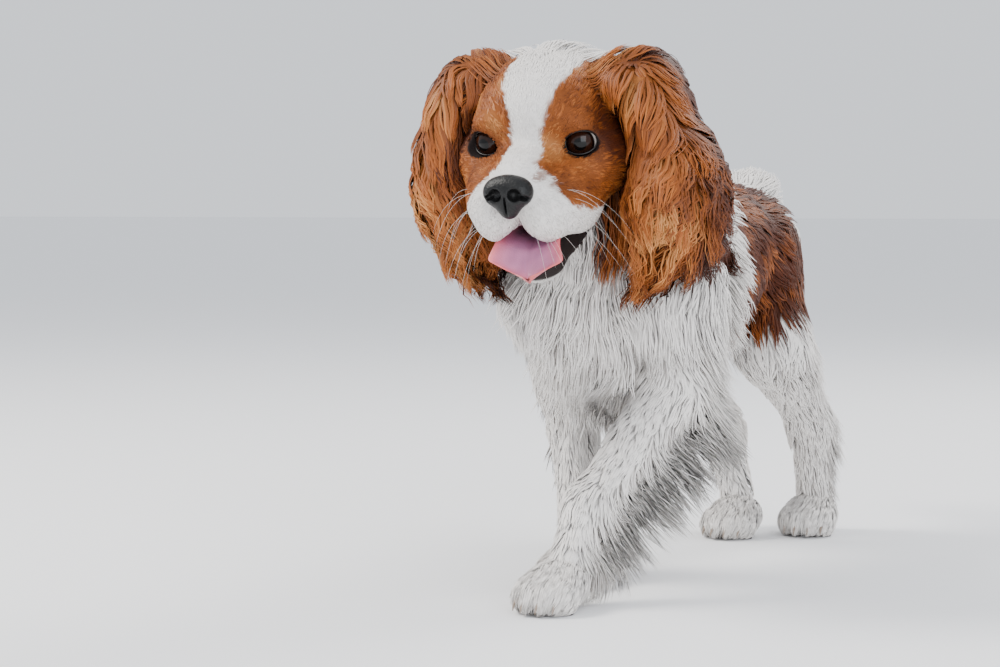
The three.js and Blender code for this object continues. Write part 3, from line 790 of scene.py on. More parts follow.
def hex_colour(code):
    """A display colour as linear red, green and blue."""
    s = np.array([(code >> shift & 255) / 255 for shift in (16, 8, 0)])
    return tuple(np.where(s < 0.04045, s / 12.92, ((s + 0.055) / 1.055) ** 2.4).tolist())


def tint(name, code, description):
    return bpy.props.FloatVectorProperty(
        name=name, description=description, default=hex_colour(code), subtype="COLOR", size=3, min=0, max=1
    )


class SpanielLook(bpy.types.PropertyGroup):
    """Sizes and colours that a user would change."""

    density: bpy.props.FloatProperty(
        name="Coat density", description="Share of the full number of tufts", default=1.0, min=0.05, max=1.5
    )
    ear_length: bpy.props.FloatProperty(
        name="Ear fringe", description="Length of the hair on the ears", default=0.046, unit="LENGTH"
    )
    chest_length: bpy.props.FloatProperty(
        name="Chest fringe", description="Length of the hair on the chest", default=0.046, unit="LENGTH"
    )
    white: tint("White", 0xF3EEE9, "White coat")
    chestnut: tint("Chestnut", 0x9C5420, "Middle tone of the chestnut coat")
    chestnut_deep: tint("Deep chestnut", 0x4A200C, "Darkest chestnut")
    chestnut_gold: tint("Golden chestnut", 0xCC8C52, "Lightest chestnut")
    tongue: tint("Tongue", 0xB9779A, "Top of the tongue")
    tongue_rim: tint("Tongue rim", 0xDC6468, "Edge and tip of the tongue")
    iris: tint("Iris", 0x26120A, "Iris")


def finish_piece(piece, material, slot, *nodes):
    """Gives a piece its material and its body, and hides the nodes that it stands in for. The slot is not
    used.
    """
    piece.data.materials.append(material)
    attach(piece, "root")
    if nodes:
        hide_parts(*nodes)


# Materials


def new_material(name, roughness, **sockets):
    """A material whose sockets are named with underscores for spaces."""
    material = bpy.data.materials.new(name)
    material.use_nodes = True
    shader = material.node_tree.nodes["Principled BSDF"]
    shader.inputs["Roughness"].default_value = roughness
    for socket, value in sockets.items():
        shader.inputs[socket.replace("_", " ")].default_value = value
    return material, material.node_tree, shader


def link(tree, source, target):
    tree.links.new(source, target)


def bump(tree, shader, height, strength, distance):
    node = tree.nodes.new("ShaderNodeBump")
    node.inputs["Strength"].default_value = strength
    node.inputs["Distance"].default_value = distance
    link(tree, height, node.inputs["Height"])
    link(tree, node.outputs["Normal"], shader.inputs["Normal"])


def noise(tree, scale, detail=4.0, stretch=(1, 1, 1)):
    """A pattern in the object's own coordinates."""
    coordinates = tree.nodes.new("ShaderNodeTexCoord")
    mapping = tree.nodes.new("ShaderNodeMapping")
    mapping.inputs["Scale"].default_value = stretch
    node = tree.nodes.new("ShaderNodeTexNoise")
    node.inputs["Scale"].default_value = scale
    node.inputs["Detail"].default_value = detail
    link(tree, coordinates.outputs["Object"], mapping.inputs["Vector"])
    link(tree, mapping.outputs["Vector"], node.inputs["Vector"])
    return node.outputs["Fac"]


def painted_colour(tree, shader):
    """The colours that the mesh carries, led to the shader."""
    colour = tree.nodes.new("ShaderNodeAttribute")
    colour.attribute_name = "coat_colour"
    link(tree, colour.outputs["Color"], shader.inputs["Base Color"])
    return colour.outputs["Color"]


def mottled(tree, shader, pattern, dark, light):
    """A colour between two, by a pattern."""
    ramp = tree.nodes.new("ShaderNodeValToRGB")
    ramp.color_ramp.elements[0].color = (*dark, 1)
    ramp.color_ramp.elements[1].color = (*light, 1)
    link(tree, pattern, ramp.inputs["Fac"])
    link(tree, ramp.outputs["Color"], shader.inputs["Base Color"])


def shared_material(name, make):
    """The material of that name, made when it is first asked for."""
    return bpy.data.materials[name] if name in bpy.data.materials else make(name)


def hair_material(name):
    """Hair: the tuft's colour, painted light and shade included, under a soft highlight."""
    material, tree, shader = new_material(name, 0.5, Specular_IOR_Level=0.25)
    painted_colour(tree, shader)
    return material


def skin_material(name):
    """Short fur lying flat: the same markings and painted shade as the coat, broken by fine fibres."""
    material, tree, shader = new_material(name, 0.7, Specular_IOR_Level=0.2)
    colour = painted_colour(tree, shader)
    grain = noise(tree, 900, 5.0, (1, 0.25, 1))
    mix = tree.nodes.new("ShaderNodeMix")
    mix.data_type = "RGBA"
    mix.blend_type = "MULTIPLY"
    mix.inputs["Factor"].default_value = 0.2
    link(tree, colour, mix.inputs["A"])
    link(tree, grain, mix.inputs["B"])
    link(tree, mix.outputs["Result"], shader.inputs["Base Color"])
    bump(tree, shader, grain, 0.5, 0.0006)
    return material


# Skins: a grid and its surface for each part of the body

HEAD_STEP, CROWN_STEP, BODY_STEP, EAR_STEP, PAW_STEP, NOSE_STEP = 1.4, 3.2, 2.9, 2.7, 1.6, 0.6
made_skins = {}


def skin_of(name, field, low, high, step):
    """A field's grid and surface between two corners, worked out once for each name."""
    if name not in made_skins:
        grid = Grid(field, low, high, step)
        made_skins[name] = (grid, grid.surface())
    return made_skins[name]


def head_skin():
    middle, half = from_head([0, 20, -15]), [66, 92, 76]
    return skin_of("head", head_field, middle - half, middle + half, HEAD_STEP)


def crown_grid():
    """The head and both ears as one soft shape, over which the hair of the temples lies."""
    middle, half = from_head([0, 30, -10]), [112, 80, 80]
    shape = blend(12, head_field, ear_field(1), ear_field(-1))
    return Grid(shape, middle - half, middle + half, CROWN_STEP)


def body_skin():
    return skin_of("body", body_field, (-82, -222, 14), (84, 290, 335), BODY_STEP)


def ear_skin(side):
    middle, half = from_head([side * 62, 38, -15]), [56, 66, 100]
    return skin_of(f"ear{side}", ear_field(side), middle - half, middle + half, EAR_STEP)


def paw_skin(name):
    """A paw, cut off just above the floor."""

    def field(p):
        return np.maximum(paw_fields[name](p), 0.4 - p[..., 2])

    middle = np.array(PAWS[name][0], float)
    return skin_of(name, field, middle - [32, 46, 15], middle + [32, 36, 30], PAW_STEP)


def painted(p, chestnut):
    """The skin's colour: that of the coat, as it is a third of the way up a tuft, painted shade included."""
    n = len(p)
    return coat_colour(p, chestnut(p), np.full(n, 0.35), np.full(n, 0.5))


def paint_face(p):
    """The face's skin: its markings, dark rims to the eyes and lips, and painted shade inside the mouth."""
    colour = painted(p, face_chestnut)
    q = to_head(p)
    rim = both_sides(eye_opening(1))(q)
    y, z = q[:, 1], q[:, 2]
    jaw = smooth(0.9, 0.3, np.abs(jaw_shape(to_jaw(q))))
    # Painted shade: the inside of the mouth is painted near black, and so is the edge of the lips, which is
    # black.
    mouth = smooth(1.6, 0.3, MOUTH(q)) * smooth(-34, -38, z) * (1 - jaw * smooth(34, 26, y))
    jaw_top = jaw * smooth(-52, -49, to_jaw(q)[:, 2]) * smooth(36, 30, y)
    dark = np.maximum(smooth(0.9, 0.3, rim), np.maximum(mouth, jaw_top))
    black_and_painted_shade = np.array([0.018, 0.012, 0.011])
    return colour + (black_and_painted_shade - colour) * dark[:, None]


class SPANIEL_OT_skin(bpy.types.Operator):
    """Make the skin: head, body, ears and paws as one piece under the coat"""

    bl_idname = "spaniel.skin"
    bl_label = "Skin"

    def execute(self, context):
        shapes, colours = [], []
        sources = [
            (head_skin()[1], paint_face),
            (body_skin()[1], lambda p: painted(p, trunk_chestnut)),
            (ear_skin(1)[1], lambda p: painted(p, all_chestnut)),
            (ear_skin(-1)[1], lambda p: painted(p, all_chestnut)),
        ]
        sources += [(paw_skin(name)[1], lambda p: painted(p, no_chestnut)) for name in PAWS]
        for shape, paint in sources:
            shapes.append(shape)
            colours.append(paint(shape[0]))
        points, tris = together(*shapes)
        piece = make_mesh("skin", points, tris, np.concatenate(colours))
        nodes = ["torso", "neck", "head", "lower_jaw", "ear_left", "ear_right", "tail", *LEGS, *PAWS]
        finish_piece(piece, shared_material("spaniel_skin", skin_material), "coat", *nodes)
        return {"FINISHED"}


def finish_coat(pieces, slot="coat"):
    for piece in pieces:
        finish_piece(piece, shared_material("spaniel_hair", hair_material), slot)


HEAD_SPINE = [from_head([0, -30, -18]), from_head([0, 0, -8]), from_head([0, 60, 6])]


def face_where(p):
    """No tufts in the mouth, on the nose, on the eyes or their rims, or on the top of the lower jaw."""
    q = to_head(p)
    open_eye = both_sides(eye_opening(1))(q)
    mouth = MOUTH(q)
    nose = nose_shape(q)
    keep = (open_eye > 0.15) & (mouth > 1.0) & (nose > 1.0)
    in_jaw = (np.abs(jaw_shape(to_jaw(q))) < 0.8) & (to_jaw(q)[:, 2] > -48)
    return (keep & ~in_jaw) * 1.0


def face_length(p, _):
    """Shortest on the bridge of the nose, longer on the cheeks, the crown and the chin."""
    q = to_head(p)
    x, y, z = np.abs(q[:, 0]), q[:, 1], q[:, 2]
    length = 3.2 + 5.5 * smooth(-20, 25, y) + 6 * smooth(25, 60, y) + 3.5 * smooth(-34, -46, z)
    eye = np.linalg.norm(np.stack([x - EYE_OUT, y - EYE_BACK + 6, z], -1), axis=1)
    return length * (0.45 + 0.55 * smooth(10, 22, eye))


class SPANIEL_OT_face_coat(bpy.types.Operator):
    """Make the short coat of the head"""

    bl_idname = "spaniel.face_coat"
    bl_label = "Face coat"

    def execute(self, context):
        style = {
            "density": lambda p: 0.66 - 0.34 * smooth(0, 50, to_head(p)[:, 1]),
            "length": face_length,
            "rise": lambda p, n: 0.6 + 2.2 * smooth(-10, 50, to_head(p)[:, 1]),
            "fall": lambda p, n: 0.0,
            "lie": head_lie, "width": 0.85, "steps": 2, "guides": 0.08, "pull": 0.4,
        }
        grid, skin = head_skin()
        pieces = coat("coat_face", "head", grid, skin, HEAD_SPINE, style, face_chestnut, 100, face_where)
        temple = {
            "density": 0.24,
            "length": lambda p, n: 24 + 4 * smooth(10, 50, to_head(p)[:, 1]),
            "rise": lambda p, n: 4.5 + 2 * smooth(20, 40, to_head(p)[:, 1]),
            "fall": lambda p, n: 0.15,
            "lie": temple_lie, "width": 1.1, "steps": 4, "guides": 0.06, "pull": 0.45, "wave": 0.7,
        }
        pieces += coat(
            "coat_temples", "head", crown_grid(), skin, HEAD_SPINE, temple, face_chestnut, 120,
            temple_where,
        )
        finish_coat(pieces)
        return {"FINISHED"}


def temple_where(p):
    """The sides and top of the head behind the brows, and the cheeks behind the eyes."""
    q = to_head(p)
    x, y, z = np.abs(q[:, 0]), q[:, 1], q[:, 2]
    above = smooth(20, 30, x) * smooth(8, 20, y) * smooth(10, 18, z)
    cheek = smooth(36, 42, x) * smooth(16, 26, y) * smooth(-40, -30, z)
    crown = smooth(25, 45, y) * smooth(20, 30, z)
    return np.maximum(np.maximum(above, cheek), 0.8 * crown)


def temple_lie(p, _):
    """Outwards over the roots of the ears, straight back on the crown, and down on the cheeks."""
    q = to_head(p)
    side, aside = np.sign(q[:, :1]), smooth(6, 26, np.abs(q[:, :1]))
    cheek = smooth(8, -10, q[:, 2:3])
    over = aside * side * np.array([0.9, 0, 0]) + np.array([0, 0.75, 0.0]) - aside * np.array([0, 0, 0.25])
    down = side * np.array([0.3, 0, 0]) + np.array([0, 0.45, -0.8])
    return (over * (1 - cheek) + down * cheek) @ HEAD_TURN.T


def ear_spine(side):
    x = 72 if side > 0 else 62
    return [from_head([side * 56, 40, 30]), from_head([side * 68, 38, 0]), from_head([side * x, 37, -60])]


class SPANIEL_OT_ear_coat(bpy.types.Operator):
    """Make the long wavy coat of both ears"""

    bl_idname = "spaniel.ear_coat"
    bl_label = "Ear coat"

    def execute(self, context):
        length = look().ear_length * 1000
        for side, name in ((1, "ear_left"), (-1, "ear_right")):
            grid, skin = ear_skin(side)

            def lie(p, _, side=side):
                """Down, the front hair a little inwards and forwards, the rear hair back."""
                q = to_head(p)
                rear = smooth(8, 55, q[:, 1:2])
                upper = smooth(-35, 10, q[:, 2:3])
                middle = smooth(20, -10, q[:, 2:3]) * smooth(-62, -35, q[:, 2:3])
                inwards = 0.25 if side > 0 else -0.12
                front = np.array([-inwards * side, -0.2, -1.0]) - middle * np.array([0.4 * side, 0.3, 0])
                back = np.array([0.15 * side, 0.45, -1.0])
                flare = upper * rear * np.array([0.34 * side, 0.6, 0])
                spread = smooth(-30, -60, q[:, 2:3]) * (q - [75 * side, 34, 0]) * [0.018, 0.016, 0]
                return (front * (1 - rear) + back * rear + flare + spread) @ HEAD_TURN.T

            def rise(p, _):
                q = to_head(p)
                return 5 + 3.8 * smooth(35, -20, q[:, 2]) + 3.5 * smooth(25, 55, q[:, 1])

            def reach(p, _, side=side):
                """Longer down the lobe and behind, and shorter on its very bottom, so that it ends round."""
                q = to_head(p)
                low = 0.4 * smooth(30, -30, q[:, 2]) - 0.16 * smooth(-60, -76, q[:, 2])
                behind = smooth(32, 52, q[:, 1]) - 0.45 * smooth(26, 6, q[:, 1]) * (side > 0)
                return length * (0.6 + low + 0.35 * behind * smooth(0, -35, q[:, 2]))

            style = {
                "density": 0.226,
                "length": reach,
                "rise": rise,
                "fall": lambda p, n: 0.5 * smooth(0, -40, to_head(p)[:, 2]),
                "wave": lambda p: 0.9 + 3.6 * smooth(15, -25, to_head(p)[:, 2]),
                "lie": lie, "width": 2.0, "steps": 7, "guides": 0.035, "pull": 0.72,
                "pitch": 20, "stray": 0.06,
            }
            seed = 200 if side > 0 else 210
            pieces = coat(f"coat_{name}", name, grid, skin, ear_spine(side), style, all_chestnut, seed)
            finish_coat(pieces, "ear_coat")
        return {"FINISHED"}


def nearest_part(p):
    """The name of the part of the body whose surface lies nearest to each point."""
    fields = {"torso": torso_field, "neck": neck_field, **leg_fields, "tail": tail_field}
    values = np.stack([field(p) for field in fields.values()])
    return np.array(list(fields))[values.argmin(0)]


def room(p, rise):
    """The rise of the coat, held down where an ear lies over it."""
    ears = np.minimum(ear_field(1)(p), ear_field(-1)(p))
    return np.minimum(rise, 3 + 0.6 * np.maximum(ears, 0))


TORSO_SPINE = [(0, -100, 205), (0, 0, 205), (0, 120, 212)]


class SPANIEL_OT_body_coat(bpy.types.Operator):
    """Make the coat of the trunk and the neck, with the chest's frill and the belly's fringe"""

    bl_idname = "spaniel.body_coat"
    bl_label = "Body coat"

    def execute(self, context):
        chest_length = look().chest_length * 1000
        grid, skin = body_skin()

        def under(p, n):
            return smooth(-0.35, -0.8, n[:, 2]) * smooth(-60, -20, p[:, 1])

        def chest(p):
            return smooth(-62, -104, p[:, 1])

        def withers(p, n):
            return smooth(-10, -60, p[:, 1]) * smooth(0.1, 0.8, n[:, 2])

        def neck_rise(p, n):
            return room(p, 8 + 6 * smooth(0.2, -0.6, n[:, 2]) + 8 * smooth(0.2, 0.8, n[:, 2]))

        torso = {
            "density": 0.13,
            "length": lambda p, n: 22 + (chest_length - 22) * chest(p) + 16 * under(p, n),
            "rise": lambda p, n: room(p, 5 + 19 * chest(p) + 3 * under(p, n) + 7 * withers(p, n)),
            "fall": lambda p, n: 0.8 * chest(p) + 0.75 * under(p, n) * (1 - chest(p)),
            "lie": torso_lie, "width": 2.1, "steps": 4, "guides": 0.06, "pull": 0.45, "wave": 1.3,
            "pitch": 30, "stray": 0.13,
        }
        pieces = coat(
            "coat_torso", "torso", grid, skin, TORSO_SPINE, torso, body_chestnut, 300,
            lambda p: (nearest_part(p) == "torso") * (1 + 1.6 * chest(p)),
        )
        neck = {
            "density": 0.26,
            "length": lambda p, n: 32 + 12 * smooth(0.2, -0.6, n[:, 2]),
            "rise": neck_rise,
            "fall": lambda p, n: 0.3 * smooth(0.2, -0.6, n[:, 2]),
            "lie": neck_lie, "width": 2.1, "steps": 4, "guides": 0.06, "pull": 0.4, "wave": 1.5,
            "pitch": 28, "stray": 0.13,
        }
        pieces += coat(
            "coat_neck", "neck", grid, skin, NECK, neck, neck_chestnut, 310,
            lambda p: (nearest_part(p) == "neck") * (head_field(p) > 1),
        )
        finish_coat(pieces)
        return {"FINISHED"}


def rear_of(aside, p, n):
    """How far a point is on the feathered rear and outer side of its leg, above the paw."""
    above = smooth(14, 28, p[:, 2]) * smooth(205, 160, p[:, 2])
    return smooth(-0.05, 0.6, n @ unit(np.array([aside, 0.7, 0]))) * above


# The feathers of a foreleg and of a hind leg: length, and how far they spread aside and back
FEATHERS = {"foreleg_left": (50, 0.62, 0.45), "foreleg_right": (46, 0.4, 0.6), "hindleg": (40, 0.3, 0.6)}


class SPANIEL_OT_leg_coat(bpy.types.Operator):
    """Make the coat of the legs and paws, with feathering behind"""

    bl_idname = "spaniel.leg_coat"
    bl_label = "Leg coat"

    def execute(self, context):
        grid, skin = body_skin()
        pieces = []
        for i, (name, joints) in enumerate(LEGS.items()):
            fore = name.startswith("fore")
            down = along_spine(joints, 0.2)
            side = 1 if name.endswith("left") else -1
            long, aside, back = FEATHERS.get(name, FEATHERS["hindleg"])
            aside = aside * side

            def lie(p, n, down=down, aside=aside, back=back):
                rear = rear_of(aside, p, n)[:, None]
                return down(p, n) * (1 - rear) + np.array([aside, back, -0.85]) * rear

            def length(p, n, aside=aside, fore=fore, long=long):
                shoulder = smooth(150, 200, p[:, 2]) if fore else 0.3 * smooth(120, 170, p[:, 2])
                low = 0.75 + 0.25 * smooth(25, 70, p[:, 2]) - 0.35 * smooth(100, 160, p[:, 2])
                return 13 + 29 * shoulder + (long - 13) * rear_of(aside, p, n) * low

            def rise(p, _, fore=fore):
                return 3.6 + 10.4 * smooth(150, 200, p[:, 2]) * fore

            def fall(p, n, aside=aside, fore=fore):
                return np.maximum(0.95 * rear_of(aside, p, n), 0.35 * fore * smooth(150, 190, p[:, 2]))

            style = {
                "density": 0.19 if fore else 0.13, "length": length, "rise": rise, "fall": fall, "lie": lie,
                "width": 1.9, "steps": 3, "guides": 0.06, "pull": 0.4, "wave": 0.9, "stray": 0.11,
            }
            pieces += coat(
                f"coat_{name}", name, grid, skin, joints, style, body_chestnut, 400 + i,
                lambda p, name=name: (nearest_part(p) == name) * (1 + 0.8 * smooth(150, 110, p[:, 2])),
            )
        for i, name in enumerate(PAWS):
            grid_paw, skin_paw = paw_skin(name)
            leg = name.replace("paw", "leg")
            style = {
                "density": 0.7,
                "length": lambda p, n: 8 + 8 * smooth(6, 20, p[:, 2]),
                "rise": lambda p, n: 1.2 + 1.6 * smooth(10, 24, p[:, 2]),
                "fall": lambda p, n: 0.3,
                "lie": lambda p, n: np.array([0, -0.8, -0.6]) + 0 * n,
                "width": 0.95, "steps": 2, "guides": 0.07, "pull": 0.4,
            }
            pieces += coat(
                f"coat_{name}", leg, grid_paw, skin_paw, LEGS[leg], style, no_chestnut, 450 + i,
                lambda p: smooth(1.5, 4, p[:, 2]),
            )
        finish_coat(pieces)
        return {"FINISHED"}


class SPANIEL_OT_tail_coat(bpy.types.Operator):
    """Make the tail's plume"""

    bl_idname = "spaniel.tail_coat"
    bl_label = "Tail coat"

    def execute(self, context):
        grid, skin = body_skin()
        down = along_spine(TAIL, 0)

        def lie(p, n):
            """Along the tail on top, and hanging from its sides and underneath."""
            low = smooth(0.5, -0.4, n[:, 2:3])
            return down(p, n) * (1 - 0.45 * low) + np.array([0, 0.1, -0.9]) * low

        style = {
            "density": 0.42,
            "length": lambda p, n: 36 + 24 * smooth(0.4, -0.5, n[:, 2]) * smooth(135, 175, p[:, 1]),
            "rise": lambda p, n: 5 + 12 * smooth(0.1, 0.8, n[:, 2]) * smooth(235, 170, p[:, 1]),
            "fall": lambda p, n: 0.95 * smooth(0.4, -0.3, n[:, 2]),
            "lie": lie, "width": 1.5, "steps": 4, "guides": 0.06, "pull": 0.5, "wave": 1.8,
        }
        pieces = coat(
            "coat_tail", "tail", grid, skin, TAIL, style, body_chestnut, 500,
            lambda p: (nearest_part(p) == "tail") * 1.0,
        )
        finish_coat(pieces)
        return {"FINISHED"}


# Eyes


def eyeball(side):
    """A ball with its poles on its gaze and a low swelling for the cornea.

    Each ring stands at a polar angle from the gaze, and its distance from the ball's centre is the eye's
    radius, less 0.15, plus 0.5 exp(-(polar / 0.55)^2). The third value is how far each point lies from the
    middle of the gaze, along the ball.
    """
    turn = np.radians(side * 16)
    gaze = np.array([np.sin(turn), -np.cos(turn), -0.02])
    rings, sides = 48, 64
    polar = np.linspace(0, np.pi, rings + 1)[1:-1, None]
    around = 2 * np.pi * np.arange(sides)[None] / sides
    side_axis = unit(np.cross(gaze, [0, 0, 1]))
    up_axis = np.cross(side_axis, gaze)
    radius = EYE_RADIUS - 0.15 + 0.5 * np.exp(-((polar / 0.55) ** 2))
    ring = (
        (radius * np.cos(polar))[..., None] * gaze
        + (radius * np.sin(polar) * np.cos(around))[..., None] * side_axis
        + (radius * np.sin(polar) * np.sin(around))[..., None] * up_axis
    )
    centre = np.array([side * EYE_OUT, EYE_BACK, 0])
    points, tris = tube(ring)
    points[-2], points[-1] = gaze * (EYE_RADIUS + 0.35), -gaze * EYE_RADIUS
    angle = np.arccos(np.clip(unit(points) @ gaze, -1, 1))
    return from_head(points + centre), tris, angle * EYE_RADIUS


def eye_material(name):
    """Wet dark eye: the painted iris under a clear, smooth coat."""
    sheen = {"Specular_IOR_Level": 0.22, "Coat_Weight": 0.06, "Coat_Roughness": 0.02}
    material, tree, shader = new_material(name, 0.05, **sheen)
    painted_colour(tree, shader)
    return material


# Where the pupil, the iris and the dark of the eye end, along the ball from the middle of its gaze
PUPIL_EDGE, IRIS_EDGE, DARK_EDGE = (3.6, 4.2), (7.2, 8.6), (10.0, 10.8)


class SPANIEL_OT_eyes(bpy.types.Operator):
    """Make both eyes and the dark rims of their lids"""

    bl_idname = "spaniel.eyes"
    bl_label = "Eyes"

    def execute(self, context):
        iris, white = np.array(look().iris), np.array([0.62, 0.55, 0.5])
        for side, name in ((1, "eye_left"), (-1, "eye_right")):
            points, tris, off = eyeball(side)
            flecks = 1 + 0.25 * waves(points, 2.0, 31)
            ring = smooth(*PUPIL_EDGE, off)[:, None]
            edge = smooth(*IRIS_EDGE, off)[:, None]
            outer = smooth(*DARK_EDGE, off)[:, None]
            colour = np.array([0.002, 0.002, 0.002]) * (1 - ring) + iris * flecks[:, None] * ring
            colour = colour * (1 - edge * 0.8)
            colour = colour * (1 - outer) + white * outer
            piece = make_mesh(f"{name}_ball", points, tris, colour)
            finish_piece(piece, shared_material("spaniel_eye", eye_material), "eye", name)
            rim = make_mesh(f"{name}_rim", *lid_rim(side))
            material, _, _ = new_material(f"{name}_rim", 0.35, Base_Color=(0.012, 0.008, 0.008, 1))
            finish_piece(rim, material, "eye")
        return {"FINISHED"}


LID_EDGE = 0.45  # radius of the lids' moist edge


def almond(side, a, proud=0.5):
    """Points at angles a round the opening of the lids, on a ball a little wider than the eye.

    Across the gaze they stand at 9.9 cos a, and up at 7.3 sin a above the middle or 6.4 sin a below it.
    """
    turn = np.radians(side * EYE_GLANCE)
    gaze = np.array([np.sin(turn), -np.cos(turn), 0])
    across = unit(np.array([np.cos(turn), np.sin(turn), 0.1 * side]))
    up = np.cross(gaze, across) * np.sign(np.cross(gaze, across)[2])
    x = 9.9 * np.cos(a)
    z = np.where(np.sin(a) > 0, 7.3, 6.4) * np.sin(a)
    off = x[:, None] * across + z[:, None] * up
    depth = np.sqrt(np.maximum((EYE_RADIUS + proud) ** 2 - (off**2).sum(1), 3))
    return off + depth[:, None] * gaze


def lid_rim(side):
    """The edge of the lids: a circle carried round the almond, with the radius of the moist edge."""
    path = almond(side, np.linspace(0, 2 * np.pi, 72, endpoint=False))
    out = unit(path)
    over = np.cross(unit(np.roll(path, -1, 0) - np.roll(path, 1, 0)), out)
    b = 2 * np.pi * np.arange(8) / 8
    spread = np.cos(b)[None, :, None] * out[:, None] + np.sin(b)[None, :, None] * over[:, None]
    ring = path[:, None] + LID_EDGE * spread
    points = from_head(ring.reshape(-1, 3) + [side * EYE_OUT, EYE_BACK, 0])
    return points, outwards(points, grid_tris(len(ring) + 1, 8) % len(points))


# Nose, mouth, whiskers, claws


def nose_shape(q):
    """The pad of the nose: a rounded block over a narrowing shield, less nostrils that open sideways."""
    pad = blend(
        5,
        egg((0, -50, -17.5), (13.6, 8.6, 9), (-12, 0, 0)),
        both_sides(egg((8.2, -51, -19.5), (6, 7.5, 6.8))),
        egg((0, -51, -26), (7, 7, 8.5)),
    )
    hole = both_sides(egg((6.2, -59, -19), (3.9, 6.5, 3.9), (0, -20, 20)))
    slit = both_sides(egg((11, -57, -21), (4.8, 5, 1.8), (0, 28, 40)))
    groove = egg((0, -60, -29), (0.7, 5, 10))
    return carve(1.0, carve(0.8, carve(1.4, pad, hole), slit), groove)(q)


class SPANIEL_OT_nose(bpy.types.Operator):
    """Make the pad of the nose, with nostrils and a fine pebbled surface"""

    bl_idname = "spaniel.nose"
    bl_label = "Nose"

    def execute(self, context):
        middle = from_head([0, -50, -18])
        half = [20, 18, 18]
        grid = Grid(lambda p: nose_shape(to_head(p)), middle - half, middle + half, NOSE_STEP)
        piece = make_mesh("nose_pad", *grid.surface())
        material, tree, shader = new_material("nose", 0.4, Specular_IOR_Level=0.28)
        pebble = tree.nodes.new("ShaderNodeTexVoronoi")
        pebble.inputs["Scale"].default_value = 900
        coordinates = tree.nodes.new("ShaderNodeTexCoord")
        link(tree, coordinates.outputs["Object"], pebble.inputs["Vector"])
        ramp = tree.nodes.new("ShaderNodeMapRange")
        ramp.inputs["To Min"].default_value = 0.009
        ramp.inputs["To Max"].default_value = 0.004
        link(tree, pebble.outputs["Distance"], ramp.inputs["Value"])
        link(tree, ramp.outputs["Result"], shader.inputs["Base Color"])
        bump(tree, shader, pebble.outputs["Distance"], 0.35, -0.0006)
        finish_piece(piece, material, "nose", "nose")
        return {"FINISHED"}


# The tongue's path from root to tip, back and up in the head's frame, with half its width there
TONGUE = [
    (30, -50, 13), (4, -51, 17), (-20, -52, 18), (-34, -56, 20), (-43, -64, 24), (-48, -68, 13),
    (-51, -71, 3),
]
TONGUE_ASIDE = 8  # how far the tongue's tip lies to the dog's left
TONGUE_ROWS, TONGUE_SIDES = 60, 48


def tongue_shape():
    """A ribbon carried along its path, hollow down its middle, with edges that curl up.

    At an angle a round each ring, the point stands across by the half width times cos a, and up by
    1.7 sin a sqrt(1 - 0.6 cos^2 a). The edges rise by 4.2 exp(-((|cos a| - 1) / 0.3)^2), the middle sinks by
    2.6 exp(-(cos a / 0.4)^2), and a crease runs down the top.
    """
    keys = np.array(TONGUE, float)
    t = np.linspace(0, len(keys) - 1, TONGUE_ROWS)
    y, z, half = (np.interp(t, np.arange(len(keys)), keys[:, i]) for i in range(3))
    for _ in range(6):
        for row in (y, z, half):
            row[1:-1] = (row[:-2] + 2 * row[1:-1] + row[2:]) / 4
    heading = unit(np.stack([np.gradient(y), np.gradient(z)], -1))
    a = 2 * np.pi * np.arange(TONGUE_SIDES) / TONGUE_SIDES
    c, s = np.cos(a)[None], np.sin(a)[None]
    across = half[:, None] * c
    share = np.linspace(0, 1, TONGUE_ROWS)
    aside = TONGUE_ASIDE * share[:, None]
    front = np.minimum(1, np.arange(TONGUE_ROWS) / 15)[:, None]
    hollow = front * (4.2 * np.exp(-(((np.abs(c) - 1) / 0.3) ** 2)) - 2.6 * np.exp(-((c / 0.4) ** 2)))
    crease = -0.9 * np.exp(-((across / 1.6) ** 2)) * (s > 0)
    height = 1.7 * s * np.sqrt(np.maximum(1 - 0.6 * c**2, 0.1)) + hollow + crease
    ring = np.stack(
        [across + aside, y[:, None] + heading[:, 1:] * height, z[:, None] - heading[:, :1] * height], -1
    )
    points, tris = tube(ring)
    edge = np.append(np.tile(np.abs(c[0]) ** 4, TONGUE_ROWS), [0, 1])
    tip = np.append(np.repeat(share**9, TONGUE_SIDES), [0, 1])
    return from_head(points), tris, np.clip(edge + tip, 0, 1)


class SPANIEL_OT_mouth(bpy.types.Operator):
    """Make the tongue"""

    bl_idname = "spaniel.mouth"
    bl_label = "Mouth"

    def execute(self, context):
        points, tris, edge = tongue_shape()
        top, rim = np.array(look().tongue), np.array(look().tongue_rim)
        tone = 1 + 0.12 * waves(points, 9, 41)[:, None]
        piece = make_mesh("tongue_blade", points, tris, (top + (rim - top) * edge[:, None]) * tone)
        material, tree, shader = new_material(
            "tongue", 0.42, Specular_IOR_Level=0.4, Subsurface_Weight=0.15, Coat_Weight=0.12
        )
        shader.inputs["Subsurface Radius"].default_value = (0.004, 0.0015, 0.001)
        shader.inputs["Subsurface Scale"].default_value = 1.0
        painted_colour(tree, shader)
        bump(tree, shader, noise(tree, 1400, 2.0), 0.5, 0.0004)
        finish_piece(piece, material, "tongue", "tongue")
        return {"FINISHED"}


def bristles(roots, headings, lengths, radius, bend, steps=10):
    """Tapered hairs: at a share t of the way, root + heading * length * t + bend * t^2."""
    t = np.linspace(0, 1, steps + 1)[:, None, None]
    line = roots[None] + headings[None] * lengths[None, :, None] * t + bend[None] * t**2
    heading = unit(np.gradient(line, axis=0))
    sides = unit(np.cross([0.1, 0.3, 1.0], heading))
    overs = np.cross(heading, sides)
    width = np.full(len(roots), radius * 2)
    return tuft_mesh(line, sides, overs, width, width, floor=0.3)[:2]


